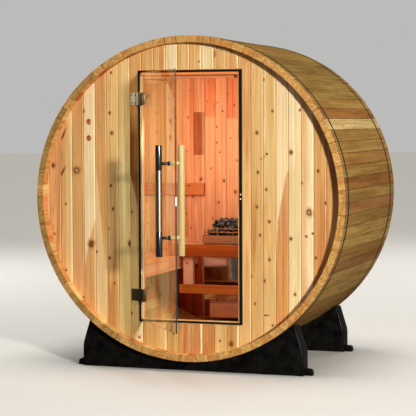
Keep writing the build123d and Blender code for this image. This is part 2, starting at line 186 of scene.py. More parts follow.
# ------------------------------------------------------------------ boards as closed meshes with their own grain coordinates
class Wood:
    def __init__(self):
        self.v, self.f = [], []
        self.grain, self.knot, self.pith, self.info, self.sap, self.ta, self.tb = [], [], [], [], [], [], []

    def _face(self, keys, data, spec, knot, end):
        """One face: keys are vertex numbers, data the (a, b, d) of its corners."""
        k2, d2 = [], []
        for i, k in enumerate(keys):
            if k not in k2:
                k2.append(k)
                d2.append(data[i])
        if len(k2) < 3:
            return
        self.f.append(k2)
        bm = sum(p[1] for p in d2) / len(d2)
        dm = sum(p[2] for p in d2) / len(d2)
        weather = 0.0 if dm > 0.022 and spec.get("inside") else spec["weather"]
        for a, b, d in d2:
            self.grain.append((a, b, d))
            self.knot.append(knot_frame(knot, a, b))
            self.sap.append(sap_at(spec, a))
            self.pith.append(spec["pith"])
            self.info.append((spec["seed"], end, weather))
            ta, tb = tone_at(spec, a, bm, dm, end)
            self.ta.append(ta)
            self.tb.append(tb)

    def prism(self, rings, place, spec, skip=None, caps=True):
        """rings = [(a, [(b, d), ...], clip or None)], lofted along a; clip(b, d) gives the true a of a trimmed end."""
        base, index = len(self.v), {}

        def vert(a, b, d):
            p = place(a, b, d)
            key = (round(p[0], 6), round(p[1], 6), round(p[2], 6))
            if key not in index:
                index[key] = len(self.v)
                self.v.append(tuple(p))
            return index[key]

        knots = sorted(spec["knots"], key=lambda k: k[0])
        solid = []
        for a, prof, clip in rings:
            row = []
            for b, d in prof:
                t = clip(b, d) if clip else a
                row.append((vert(t, b, d), (t, b, d)))
            solid.append((a, row))

        def knot_for(a):
            return min(knots, key=lambda k: abs(k[0] - a) / (0.01 + abs(k[2]))) if knots else None

        for (a0, r0), (a1, r1) in zip(solid, solid[1:]):
            knot = knot_for((a0 + a1) / 2)
            n = len(r0)
            for j in range(n):
                if skip and skip((a0 + a1) / 2, j):
                    continue
                q = (r0[j], r0[(j + 1) % n], r1[(j + 1) % n], r1[j])
                self._face([c[0] for c in q], [c[1] for c in q], spec, knot, 0.0)
        if caps:
            for a, row in (solid[0], solid[-1]):
                self._face([c[0] for c in row], [c[1] for c in row], spec, None, 1.0)
        return solid, vert, knot_for

    def piece(self, name, material, body, slot, nodes, smooth=None):
        me = bpy.data.meshes.new(name)
        me.from_pydata(self.v, [], self.f)
        for key, vals, kind in (("Grain", self.grain, "FLOAT_VECTOR"), ("Knot", self.knot, "FLOAT_VECTOR"),
                                ("Pith", self.pith, "FLOAT_VECTOR"), ("Board", self.info, "FLOAT_VECTOR"), ("Sap", self.sap, "FLOAT_VECTOR")):
            at = me.attributes.new(key, kind, "CORNER")
            at.data.foreach_set("vector", [c for v in vals for c in v])
        for key, vals in (("ToneA", self.ta), ("ToneB", self.tb)):
            at = me.attributes.new(key, "FLOAT_COLOR", "CORNER")
            at.data.foreach_set("color", [c for v in vals for c in v])
        bm = bmesh.new()
        bm.from_mesh(me)
        bmesh.ops.recalc_face_normals(bm, faces=bm.faces)
        bm.to_mesh(me)
        bm.free()
        if smooth:
            me.polygons.foreach_set("use_smooth", [True] * len(me.polygons))
            me.set_sharp_from_angle(angle=radians(smooth))
        me.materials.append(material)
        return show(name, me, body, nodes)


def show(name, me, body, nodes):
    ob = bpy.data.objects.new(name, me)
    bpy.context.scene.collection.objects.link(ob)
    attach(ob, body)
    if nodes:
        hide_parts(*nodes)
    return ob


def stops(a0, a1, knots, extra=()):
    """Where a board is cut into cells along its length, so that each cell has one knot of its own."""
    ks = sorted(knots, key=lambda k: k[0])
    out = {a0, a1}
    for k0, k1 in zip(ks, ks[1:]):
        w0, w1 = 0.01 + abs(k0[2]), 0.01 + abs(k1[2])
        c = k0[0] + (k1[0] - k0[0]) * w0 / (w0 + w1)
        if a0 + 0.001 < c < a1 - 0.001:
            out.add(c)
    for e in extra:
        if a0 + 0.001 < e < a1 - 0.001:
            out.add(e)
    return sorted(out)


def plank(w, origin, A, B, D, size, spec, ease=0.002, end_ease=0.0008, round_steps=2):
    """A board from origin, its length along A, width along B and thickness along D, with eased edges. Knots are given across from its middle."""
    la, lb, ld = size
    spec = dict(spec)
    h = lb / 2

    def prof(inset):
        e = ease
        pts = []
        for cx, cd, t0 in ((-h + e, e, 180), (h - e, e, 270), (h - e, ld - e, 0), (-h + e, ld - e, 90)):
            for i in range(round_steps + 1):
                t = radians(t0 + 90.0 * i / round_steps)
                b, d = cx + e * cos(t), cd + e * sin(t)
                b *= (h - inset) / h
                d = inset + d * (ld - 2 * inset) / ld
                pts.append((b, d))
        return pts

    def place(a, b, d):
        return origin + A * a + B * (b + h) + D * d

    full, small = prof(0.0), prof(end_ease)
    rings = [(0.0, small, None)]
    for a in stops(end_ease, la - end_ease, spec["knots"], [t[0] for t in spec["tones"]]):
        rings.append((a, full, None))
    rings.append((la, small, None))
    w.prism(rings, place, spec)


# ------------------------------------------------------------------ node helper
class Nodes:
    def __init__(self, name):
        self.mat = bpy.data.materials.new(name)
        self.mat.use_nodes = True
        self.t = self.mat.node_tree
        self.t.nodes.clear()

    def new(self, kind, **props):
        n = self.t.nodes.new(kind)
        for k, v in props.items():
            setattr(n, k, v)
        return n

    def put(self, socket, value):
        if hasattr(value, "is_output"):
            self.t.links.new(value, socket)
        elif value is not None:
            socket.default_value = value

    def math(self, op, a, b=None, c=None, clamp=False):
        n = self.new("ShaderNodeMath", operation=op, use_clamp=clamp)
        for i, v in enumerate((a, b, c)):
            if v is not None:
                self.put(n.inputs[i], v)
        return n.outputs[0]

    def add(self, a, b):
        return self.math("ADD", a, b)

    def mul(self, a, b):
        return self.math("MULTIPLY", a, b)

    def sub(self, a, b):
        return self.math("SUBTRACT", a, b)

    def mad(self, a, b, c):
        return self.math("MULTIPLY_ADD", a, b, c)

    def vec(self, x, y, z):
        n = self.new("ShaderNodeCombineXYZ")
        for s, v in zip(n.inputs, (x, y, z)):
            self.put(s, v)
        return n.outputs[0]

    def split(self, v):
        n = self.new("ShaderNodeSeparateXYZ")
        self.put(n.inputs[0], v)
        return n.outputs[0], n.outputs[1], n.outputs[2]

    def attr(self, name, out="Vector"):
        n = self.new("ShaderNodeAttribute", attribute_type="GEOMETRY", attribute_name=name)
        return n.outputs[out]

    def noise(self, v, scale=1.0, detail=2.0, rough=0.5, distortion=0.0, out=0):
        n = self.new("ShaderNodeTexNoise")
        self.put(n.inputs["Vector"], v)
        n.inputs["Scale"].default_value = scale
        n.inputs["Detail"].default_value = detail
        n.inputs["Roughness"].default_value = rough
        n.inputs["Distortion"].default_value = distortion
        return n.outputs[out]

    def smooth(self, x, lo, hi, to0=0.0, to1=1.0):
        n = self.new("ShaderNodeMapRange", interpolation_type="SMOOTHSTEP")
        self.put(n.inputs["Value"], x)
        n.inputs["From Min"].default_value = lo
        n.inputs["From Max"].default_value = hi
        n.inputs["To Min"].default_value = to0
        n.inputs["To Max"].default_value = to1
        return n.outputs[0]

    def mix(self, fac, a, b, blend_type="MIX"):
        n = self.new("ShaderNodeMix", data_type="RGBA", blend_type=blend_type)
        self.put(n.inputs[0], fac)
        self.put(n.inputs[6], a)
        self.put(n.inputs[7], b)
        return n.outputs[2]

    def bump(self, height, strength, distance):
        n = self.new("ShaderNodeBump")
        n.inputs["Strength"].default_value = strength
        n.inputs["Distance"].default_value = distance
        self.put(n.inputs["Height"], height)
        return n.outputs[0]

    def object(self):
        return self.new("ShaderNodeTexCoord").outputs["Object"]

    def finish(self, color, rough, normal=None, **sockets):
        p = self.new("ShaderNodeBsdfPrincipled")
        self.put(p.inputs["Base Color"], color)
        self.put(p.inputs["Roughness"], rough)
        if normal is not None:
            self.put(p.inputs["Normal"], normal)
        for k, v in sockets.items():
            p.inputs[k.replace("_", " ")].default_value = v
        o = self.new("ShaderNodeOutputMaterial")
        self.t.links.new(p.outputs[0], o.inputs["Surface"])
        return self.mat


def wood_material(name, figure=1.0, fibre=1.0, rough=0.56, spec=0.3, end_tint=1.0):
    """Solid cedar: rings round a pith, figure between two tones, sapwood, fibre, knots with the grain flowing round them."""
    m = Nodes(name)
    a, b, d = m.split(m.attr("Grain"))
    seed, end, weather = m.split(m.attr("Board"))
    u, v, radius = m.split(m.attr("Knot"))
    yc, d0, slope = m.split(m.attr("Pith"))
    edge, strength, _ = m.split(m.attr("Sap"))
    tone_a, tone_b = m.attr("ToneA", "Color"), m.attr("ToneB", "Color")
    # distance from the knot's centre in radii, a little longer along the grain, with a ragged outline
    R = m.math("ABSOLUTE", radius)
    has = m.math("GREATER_THAN", R, 0.0003)
    swirl = m.math("LESS_THAN", radius, -0.0003)
    Rm = m.math("MAXIMUM", R, 0.0004)
    uk = m.math("DIVIDE", u, m.mul(Rm, 1.25))
    vk = m.math("DIVIDE", v, Rm)
    wob = m.noise(m.vec(m.mul(uk, 0.9), m.mul(vk, 0.9), seed), 1.0, 2.0)
    rk = m.mul(m.math("SQRT", m.add(m.mul(uk, uk), m.mul(vk, vk))), m.mad(wob, 0.9, 0.55))
    fall = m.mul(m.math("EXPONENT", m.mul(m.mul(rk, rk), -0.36)), has)
    bb = m.sub(b, m.mul(m.mul(v, fall), 0.9))
    # ring distance from the pith line, wandering slowly along the board
    drift = m.sub(m.noise(m.vec(m.mul(a, 1.3), m.mul(b, 5.0), seed), 1.0, 2.0), 0.5)
    depth = m.add(m.add(d0, d), m.add(m.mul(slope, a), m.mul(drift, 0.030)))
    off = m.add(m.sub(bb, yc), m.mul(drift, 0.012))
    rho = m.math("SQRT", m.add(m.mul(off, off), m.mul(depth, depth)))
    flame = m.noise(m.vec(m.mul(rho, 70.0), m.mul(a, 0.9), seed), 1.0, 3.0, 0.55)
    flame = m.smooth(flame, 0.38, 0.64)
    wave = m.math("SINE", m.add(m.mul(rho, 1500.0), m.mul(m.noise(m.vec(m.mul(rho, 90.0), m.mul(a, 2.0), seed), 1.0, 2.0), 14.0)))
    line = m.math("POWER", m.mad(wave, 0.5, 0.5), 3.0)
    strong = m.smooth(m.noise(m.vec(m.mul(rho, 130.0), m.mul(a, 0.6), m.add(seed, 9.0)), 1.0, 1.0), 0.35, 0.7)
    line = m.mul(line, strong)
    strand = m.noise(m.vec(m.mul(a, 9.0), m.mul(bb, 620.0), m.add(m.mul(d, 620.0), seed)), 1.0, 3.0, 0.6)
    streak = m.noise(m.vec(m.mul(a, 1.4), m.mul(bb, 150.0), m.add(m.mul(d, 90.0), m.add(seed, 3.0))), 1.0, 3.0, 0.6)
    cloud = m.noise(m.vec(m.mul(a, 3.5), m.mul(b, 22.0), m.add(seed, 5.0)), 1.0, 3.0, 0.55)
    col = m.mix(m.mul(flame, figure), tone_a, tone_b)
    # sapwood along one edge, its border wandering
    side = m.math("SIGN", strength)
    roam = m.mul(m.sub(m.noise(m.vec(m.mul(a, 5.0), m.mul(b, 6.0), m.add(seed, 13.0)), 1.0, 4.0, 0.6), 0.5), 0.026)
    pale = m.mul(m.smooth(m.mul(m.add(m.sub(bb, edge), roam), side), -0.002, 0.0055), m.math("ABSOLUTE", strength))
    col = m.mix(pale, col, (0.885, 0.690, 0.390, 1))
    col = m.mix(m.mul(line, m.mul(m.sub(1.0, m.mul(pale, 0.5)), 0.42 * figure)), col, m.mix(0.55, tone_b, (0.27, 0.11, 0.035, 1)))
    k = m.mad(m.sub(strand, 0.5), 0.30 * fibre, 1.0)
    k = m.mul(k, m.mad(m.sub(streak, 0.5), 0.44, 1.0))
    k = m.mul(k, m.mad(m.sub(cloud, 0.5), 0.34, 1.0))
    col = m.mix(1.0, col, m.vec(k, m.math("POWER", k, 1.12), m.math("POWER", k, 1.35)), "MULTIPLY")
    # knots: a warm halo, a dark red-brown core, a darker rim; a swirled one is pale in its middle
    halo = m.mul(m.math("EXPONENT", m.mul(m.math("POWER", m.sub(rk, 0.9), 2.0), -1.3)), has)
    col = m.mix(m.mul(halo, 0.66), col, (0.36, 0.125, 0.022, 1))
    core_col = m.mix(m.noise(m.vec(m.mul(uk, 2.2), m.mul(vk, 2.2), m.add(seed, 1.0)), 1.0, 3.0), (0.080, 0.019, 0.004, 1), (0.27, 0.080, 0.015, 1))
    core_col = m.mix(m.mul(swirl, m.smooth(rk, 0.74, 0.40)), core_col, (0.50, 0.27, 0.095, 1))
    core = m.mul(m.smooth(rk, 1.08, 0.82), has)
    col = m.mix(m.mul(core, 0.94), col, core_col)
    rim = m.mul(m.math("EXPONENT", m.mul(m.math("POWER", m.sub(rk, 0.98), 2.0), -55.0)), has)
    col = m.mix(m.mul(rim, 0.45), col, (0.045, 0.012, 0.003, 1))
    # cut ends: pores, blotches of a few millimetres, small dark flecks
    pore = m.noise(m.vec(m.mul(b, 460.0), m.mul(d, 460.0), seed), 1.0, 3.0, 0.7)
    patch = m.noise(m.vec(m.mul(b, 135.0), m.mul(d, 135.0), seed), 1.0, 3.0, 0.6)
    fleck = m.noise(m.vec(m.mul(b, 105.0), m.mul(d, 105.0), m.add(seed, 11.0)), 1.0, 1.0)
    e = m.mul(m.mad(m.sub(pore, 0.5), 0.75, 1.0), m.mad(m.sub(patch, 0.5), 1.15, end_tint))
    cut = m.mix(1.0, col, m.vec(e, m.math("POWER", e, 1.2), m.math("POWER", e, 1.5)), "MULTIPLY")
    cut = m.mix(m.smooth(fleck, 0.63, 0.72, 0.0, 0.75), cut, (0.13, 0.042, 0.010, 1))
    col = m.mix(end, col, cut)
    # outdoors: saw lines, short checks, greyed blotches, dark joints with rusty nicks
    out = m.math("GREATER_THAN", weather, 0.01)
    saw = m.noise(m.vec(m.mul(a, 3.0), m.mul(bb, 230.0), m.add(seed, 15.0)), 1.0, 3.0, 0.7)
    w = m.mad(m.mul(m.sub(saw, 0.5), out), 0.95, 1.0)
    col = m.mix(1.0, col, m.vec(w, m.math("POWER", w, 1.1), m.math("POWER", w, 1.3)), "MULTIPLY")
    blot = m.noise(m.vec(m.mul(a, 7.0), m.mul(b, 60.0), m.add(seed, 7.0)), 1.0, 4.0, 0.6)
    col = m.mix(m.mul(weather, m.smooth(blot, 0.30, 0.72)), col, (0.27, 0.19, 0.085, 1))
    check = m.noise(m.vec(m.mul(a, 15.0), m.mul(bb, 330.0), m.add(seed, 17.0)), 1.0, 2.0, 0.6)
    check = m.mul(m.smooth(check, 0.635, 0.70), out)
    col = m.mix(m.mul(check, 0.75), col, (0.095, 0.040, 0.010, 1))
    far = m.math("ABSOLUTE", b)
    nick = m.smooth(m.noise(m.vec(m.mul(a, 26.0), m.mul(b, 30.0), m.add(seed, 19.0)), 1.0, 2.0), 0.56, 0.62)
    col = m.mix(m.mul(m.mul(m.smooth(far, 0.0275, 0.0310), nick), m.mul(out, 0.8)), col, (0.235, 0.085, 0.018, 1))
    dim = m.smooth(m.noise(m.vec(m.mul(a, 5.0), seed, 2.0), 1.0, 3.0), 0.36, 0.66, 0.15, 0.75)
    col = m.mix(m.mul(m.mul(m.smooth(far, 0.0316, 0.0332), dim), out), col, (0.050, 0.026, 0.008, 1))
    height = m.add(m.mul(strand, 0.6), m.add(m.mul(line, -0.5), m.add(m.mul(rim, -1.2), m.mul(m.mul(pore, end), 1.6))))
    height = m.add(height, m.mul(m.add(m.mul(saw, 0.8), m.mul(check, -1.5)), out))
    r = m.mad(strand, 0.16, rough - 0.08)
    r = m.mad(end, 0.18, m.mad(line, 0.06, r))
    return m.finish(col, r, m.bump(height, 0.35, 0.0006), Specular_IOR_Level=spec)


M = {
    "wall_board": wood_material("cedar_boards"),
    "stave": wood_material("cedar_staves", figure=0.9, rough=0.72, spec=0.06),
    "frame_wood": wood_material("cedar_frame", figure=0.8),
    "bench_wood": wood_material("cedar_bench", figure=0.9, rough=0.5),
    "handle_wood": wood_material("pale_handle_wood", figure=0.5, rough=0.42, spec=0.4),
}


# ------------------------------------------------------------------ staves of the barrel
COUNT, PHASE = 84, 0.85
HALF = pi / COUNT
TH = tan(HALF)
APO_OUT, APO_IN = R_OUT * cos(HALF), R_IN * cos(HALF)
SEGMENTS = ("shell_right", "shell_upper_right", "shell_top", "shell_upper_left",
            "shell_left", "shell_lower_left", "shell_bottom", "shell_lower_right")


def stave_profile(groove):
    din = APO_OUT - (R_IN + 0.0103 if groove else APO_IN)
    half = lambda d: (APO_OUT - d) * TH
    right = [(half(0) - 0.0013, 0.0), (half(0.001) - 0.00035, 0.0011), (half(0.004) - 0.00035, 0.0045), (half(0.0045), 0.0045),
             (half(din - 0.0026), din - 0.0026), (half(din) - 0.0026, din)]
    return [(-b, d) for b, d in reversed(right)] + right


def stave_tone(deg, rng):
    """Outdoor tones by where the stave sits."""
    d = deg % 360
    if 40 < d < 140:
        pool = ("olive", "olive_dark", "olive", "olive_tan", "olive_dark")
    elif 10 < d <= 40:
        pool = ("weather_tan", "olive_tan", "weather_tan", "weather_tan")
    elif d <= 10 or d > 318:
        pool = ("olive_light", "olive_tan", "weather_tan", "olive_light")
    elif 200 < d < 318:
        pool = ("weather_tan", "olive", "olive_tan")
    else:
        pool = ("olive_tan", "weather_tan", "olive_tan", "weather_pink")
    return rng.choice(pool)


def ring_tone(deg, rng):
    """Cut ends: duller on the left, warmer on the right and along the bottom."""
    d = deg % 360
    if 120 < d < 250:
        pool = ("end_olive", "end_olive", "end_olive", "end_tan")
    elif 60 < d <= 120:
        pool = ("end_tan", "end_tan", "end_orange")
    elif d <= 60 or d > 320:
        pool = ("end_light", "end_tan", "end_light", "end_tan")
    else:
        pool = ("end_orange", "end_tan", "end_orange", "end_tan")
    return rng.choice(pool)


def inner_tone(deg, rng):
    """The fresh inside faces that show in the recess."""
    if 140 < deg % 360 < 250:
        return rng.choice(("orange_tan", "gold", "amber", "yellow", "orange_tan", "gold"))
    return rng.choice(("amber", "orange_tan", "yellow", "rust", "straw", "orange_tan"))


# staves that stand out on the right side
FORCED = {7: "olive_tan", 6: "weather_brown", 5: "weather_cream", 4: "olive_tan", 0: "weather_brown", -1: "olive_tan", -2: "weather_pink", -3: "olive_tan", -7: "weather_pink"}
FORCED = {k % COUNT: v for k, v in FORCED.items()}
groups = {s: Wood() for s in SEGMENTS}
for k in range(COUNT):
    rng = Random(4000 + k)
    th = 2 * HALF * (k + 0.5 + PHASE)
    deg = (th * 180 / pi) % 360
    seg = SEGMENTS[int(((deg + 22.5) % 360) // 45)]
    er = Vector((cos(th), 0, sin(th)))
    et = Vector((-sin(th), 0, cos(th)))
    axis = Vector((0, 0, AZ))

    def place(a, b, d, er=er, et=et):
        return axis + er * (APO_OUT - d) + et * b + Y * a

    cuts = [FRONT]
    if rng.random() < 0.35:
        cuts.append(rng.uniform(FRONT + 0.25, REAR - 0.25))
    cuts.append(REAR)
    outside = FORCED.get(k) or stave_tone(deg, rng)
    end, inside_tone = ring_tone(deg, rng), inner_tone(deg, rng)
    for a0, a1 in zip(cuts, cuts[1:]):
        knots = random_knots(rng, a0 + 0.05, a1 - 0.03, -0.026, 0.026, 5.0, (0.0018, 0.0056))
        spec = board(rng, outside, knots, weather=0.30)
        spec["end_tone"], spec["inside"] = end, inside_tone
        spec["pith"] = (rng.uniform(-0.05, 0.05), rng.choice((-0.05, -0.02, 0.03, 0.06)), rng.uniform(-0.012, 0.012))
        marks = set(stops(a0, a1, knots))
        grooves = ((WALL_Y - 0.0002, WALL_BACK + 0.0002), (REAR_WALL - 0.0002, REAR_WALL + WALL_T + 0.0002))
        rings = []
        for g0, g1 in grooves:
            for g in (g0, g1):
                if a0 < g < a1:
                    marks.add(g)
        plain, deep = stave_profile(False), stave_profile(True)
        inside = lambda y: any(g0 < y < g1 for g0, g1 in grooves)
        for a in sorted(marks):
            before, after = inside(a - 1e-5), inside(a + 1e-5)
            if a == a0:
                before = after
            if a == a1:
                after = before
            rings.append((a, deep if before else plain, None))
            if before != after:
                rings.append((a, deep if after else plain, None))
        groups[seg].prism(rings, place, spec)

for s in SEGMENTS:
    groups[s].piece("staves" + s[5:], M["stave"], "cabin", "stave", [s])

# ------------------------------------------------------------------ end walls of upright boards


V_WIDE = 0.0048


def board_profile(b0, b1, t, left=True, right=True, bead=True):
    """Front from left to right, then back from right to left: bevelled joints with a fine slit, and a bead in the middle."""
    f = []
    f += [(b0, 0.0080), (b0 + 0.0006, 0.0080), (b0 + 0.0006, 0.0040), (b0 + V_WIDE, 0.0)] if left else [(b0, 0.0)]
    if bead and b0 < -0.003 and b1 > 0.003:
        f += [(-0.0024, 0.0), (-0.0007, 0.0018), (0.0007, 0.0018), (0.0024, 0.0)]
    f += [(b1 - V_WIDE, 0.0), (b1 - 0.0006, 0.0040), (b1 - 0.0006, 0.0080), (b1, 0.0080)] if right else [(b1, 0.0)]
    r = [(b1, t - 0.003), (b1 - 0.003, t)] if right else [(b1, t)]
    r += [(b0 + 0.003, t), (b0, t - 0.003)] if left else [(b0, t)]
    return f + r


def arc_end(x0, sign):
    """Trims a board's end to the round groove."""
    def clip(b, d):
        return sign * sqrt(max(0.0, WALL_R ** 2 - min(abs(x0 + b), WALL_R) ** 2))
    return clip


# board number from the barrel's middle -> tones along it (position above the axis, tone); boards run from 72 mm * number
FRONT_BOARDS = {
    -13: "pink_tan", -12: "pink_tan", -11: "tan_straw",
    -10: [(-0.5, "pink_tan"), (-0.1, "tan"), (0.5, "tan")],
    -9: [(-0.5, "flame"), (0.0, "flame")],
    -8: [(-0.4, "yellow"), (0.1, "tan"), (0.4, "tan")],
    -7: [(-0.5, "tan"), (0.0, "yellow"), (0.6, "yellow")],
    -6: [(-0.5, "green_cream"), (0.1, "green_cream"), (0.5, "straw")],
    -5: [(-0.3, "green_cream"), (0.0, "brown_tan"), (0.35, "brown_tan"), (0.5, "tan")],
    -4: [(-0.5, "cream"), (0.3, "yellow")], -3: "flame", -2: "cream", -1: "yellow", 0: "flame", 1: "cream", 2: "yellow", 3: [(-0.5, "straw"), (0.3, "flame")],
    4: [(-0.4, "flame"), (0.4, "flame")],
    5: [(-0.5, "gold"), (0.0, "gold"), (0.6, "yellow")],
    6: [(-0.5, "yellow"), (0.1, "straw"), (0.6, "straw")],
    7: [(-0.6, "orange_tan"), (-0.25, "orange_tan"), (-0.1, "pink_tan")],
    8: "cream", 9: "pink_cream", 10: [(-0.4, "orange_tan"), (0.3, "tan")], 11: "tan", 12: "pink_tan",
}
# sapwood along some of them: (position above the axis, where its edge runs across), and how pale; under 0 it lies on the left
SAP = {
    -11: ([(0, 0.022)], 0.5), -9: ([(-0.62, -0.040), (-0.40, -0.030), (-0.29, -0.006), (-0.20, 0.012), (-0.08, 0.050)], -0.95),
    -8: ([(-0.62, 0.030), (-0.35, 0.022), (-0.05, -0.008), (0.15, -0.026), (0.35, -0.050)], -0.45), -7: ([(0, -0.030)], -0.5),
    -5: ([(-0.40, 0.050), (-0.17, 0.028), (-0.02, 0.004), (0.09, -0.020), (0.20, -0.040)], -0.5), -3: ([(0, 0.028)], 0.8), -1: ([(0, 0.030)], 0.4), 0: ([(0, 0.023)], 0.9), 2: ([(0, -0.031)], -0.7),
    3: ([(0, 0.027)], 0.95), 4: ([(-0.5, 0.030), (0.2, 0.040)], 0.6), 5: ([(0, 0.004)], 0.20), 6: ([(0.1, -0.040), (0.5, -0.014)], -0.7),
    7: ([(-0.50, -0.040), (-0.30, -0.030), (-0.12, -0.022), (-0.02, -0.004), (0.12, 0.024), (0.22, 0.050)], -0.86), 10: ([(0, 0.0315)], 0.85),
}
# boards whose two halves, either side of the bead, are plainly different
HALVES = {"pink_cream": ("light_pink", "cream"), "tan_straw": ("tan", "straw")}
UNDER_BOARDS = {-4: "gold", -3: "yellow", -2: "gold", -1: "orange_tan", 0: "orange_tan", 1: "orange_tan", 2: "yellow", 3: "gold"}
# knots of the front wall: across from the middle, above the axis, radius, all mm
FRONT_KNOTS = (
    (-472, 716, 4), (-482, 487, 5), (-470, 372, 6), (-478, 72, 5), (-465, -62, 5), (-492, -176, 3), (-489, -345, 5), (-460, -490, 4),
    (-642, 498, 3, 2.2, 8), (-602, -266, 12), (-568, -311, 4), (-772, 362, 4, 4.5, 24), (-838, 185, 8), (-780, 145, 4, 4.5, 30), (-691, 156, -14, 0.8, 60), (-760, -38, 4),
    (-835, -213, 4), (-762, -423, 4), (-655, -579, 4), (-338, 317, 4), (-336, 253, 3.5), (-351, -78, 4), (-366, -259, 6, 1.6, 0), (-355, -659, 4),
    (146, 809, -9, 0.9, 0), (436, 664, 4), (487, 491, 4), (397, 372, 6), (454, 254, 4), (440, 240, 2), (422, 226, 2.5), (402, 153, 5),
    (593, 263, 7), (451, 58, 4.5), (396, -40, 5), (644, 495, 4), (746, 162, 5), (655, 96, 3.5), (696, -66, -11, 1.0, 0), (788, -13, 4),
    (468, -120, 5), (414, -196, 4.5), (592, -213, 5.5), (716, -182, 4), (679, -197, 4), (734, -315, 4.5), (468, -331, 4.5),
    (365, -427, 3.5), (438, -450, 5), (385, -580, 4), (446, -642, 2.5, 4.5, 86), (615, -520, 4.5), (487, -697, 4), (244, -811, 9), (178, -797, 4),
    (-308, -795, 4), (-100, -770, 3), (60, 770, 3),
)


def upright_place(x0, y0):
    def place(a, b, d):
        return Vector((x0 + b, y0 + d, AZ + a))
    return place


def wall_piece(w, k, lo, hi, z0, z1, spec, bored=()):
    """One board of the front wall, number k, cut to lo..hi across and z0..z1 along; None runs into the round groove."""
    x0 = PITCH * (k + 0.5)
    left, right = lo is None, hi is None
    lo = -PITCH / 2 if left else lo - x0
    hi = PITCH / 2 if right else hi - x0
    lo = max(lo, -WALL_R + 0.0005 - x0)
    hi = min(hi, WALL_R - 0.0005 - x0)
    prof = board_profile(lo, hi, WALL_T, left, right)
    spec = dict(spec)
    spec["knots"] = [q for q in spec["knots"] if (z0 is None or q[0] > z0 - 0.02) and (z1 is None or q[0] < z1 + 0.02)]
    edge = sqrt(max(0.0, WALL_R ** 2 - max(abs(x0 + lo), abs(x0 + hi)) ** 2))
    a0 = -edge if z0 is None else z0
    a1 = edge if z1 is None else z1
    inner = [z for h in bored for z in (h - 0.019, h + 0.019)]
    marks = stops(a0, a1, spec["knots"], [t[0] for t in spec["tones"]] + [t[0] for t in (spec["sap"] or ((),))[0]] + inner)
    rings = []
    for a in marks:
        clip = None
        if a == a0 and z0 is None:
            clip = arc_end(x0, -1)
        if a == a1 and z1 is None:
            clip = arc_end(x0, 1)
        rings.append((a, prof, clip))
    place = upright_place(x0, WALL_Y)
    if not bored:
        w.prism(rings, place, spec)
        return
    # bored holes through the middle of the board
    nf = prof.index((hi - V_WIDE, 0.0))
    first = prof.index((lo + V_WIDE, 0.0))
    back_right = prof.index((hi - 0.003, WALL_T))
    skip = lambda a, j: any(abs(a - h) < 0.018 for h in bored) and (first <= j < nf or j == back_right)
    solid, vert, knot_for = w.prism(rings, place, spec, skip=skip)
    r, n = 0.015, 40
    bore = dict(spec)
    bore["sap"], bore["halves"], bore["end_tone"] = None, None, "bore_brown"
    for h in bored:
        knot = knot_for(h)
        lip = []
        for rr, d in ((r + 0.0012, 0.0), (r, 0.0012), (r, WALL_T)):
            ring = []
            for i in range(n):
                t = 2 * pi * i / n
                p = (h + rr * sin(t), rr * cos(t), d)
                ring.append((vert(*p), p))
            lip.append(ring)
        for r0, r1 in zip(lip, lip[1:]):
            for i in range(n):
                q = (r0[i], r0[(i + 1) % n], r1[(i + 1) % n], r1[i])
                w._face([c[0] for c in q], [c[1] for c in q], bore, None, 0.85)
        for ring, path in ((lip[0], prof[first:nf + 1]), (lip[2], prof[back_right:back_right + 2])):
            path = sorted(path)
            top = [(h + 0.019, b, d) for b, d in path]
            bot = [(h - 0.019, b, d) for b, d in path]
            q1, q3 = n // 4, 3 * n // 4
            mid = len(path) // 2
            right_loop = top[mid:] + list(reversed(bot[mid:])) + [ring[i % n][1] for i in range(q3, n + q1 + 1)]
            left_loop = list(reversed(top[:mid])) + bot[:mid] + [ring[i][1] for i in range(q3, q1 - 1, -1)]
            mids = top[mid - 1], bot[mid - 1]
            right_loop = [mids[0]] + top[mid:] + list(reversed(bot[mid:])) + [mids[1]] + [ring[i % n][1] for i in range(q3, n + q1 + 1)]
            for loop in (right_loop, left_loop):
                w._face([vert(*p) for p in loop], list(loop), spec, knot, 0.0)


def front_spec(k, tones):
    rng = Random(700 + k * 13)
    x0 = PITCH * (k + 0.5)
    knots = []
    for x, z, r, *more in FRONT_KNOTS:
        if abs(x / 1000.0 - x0) <= PITCH / 2:
            stretch, turn = more if more else (1.0, 0.0)
            knots.append((z / 1000.0, x / 1000.0 - x0, r * 1.2 / 1000.0, stretch, radians(turn)))
    s = board(rng, "tan" if isinstance(tones, str) and tones in HALVES else tones, knots, sap=SAP.get(k))
    if isinstance(tones, str) and tones in HALVES:
        s["halves"] = HALVES[tones]
    return s


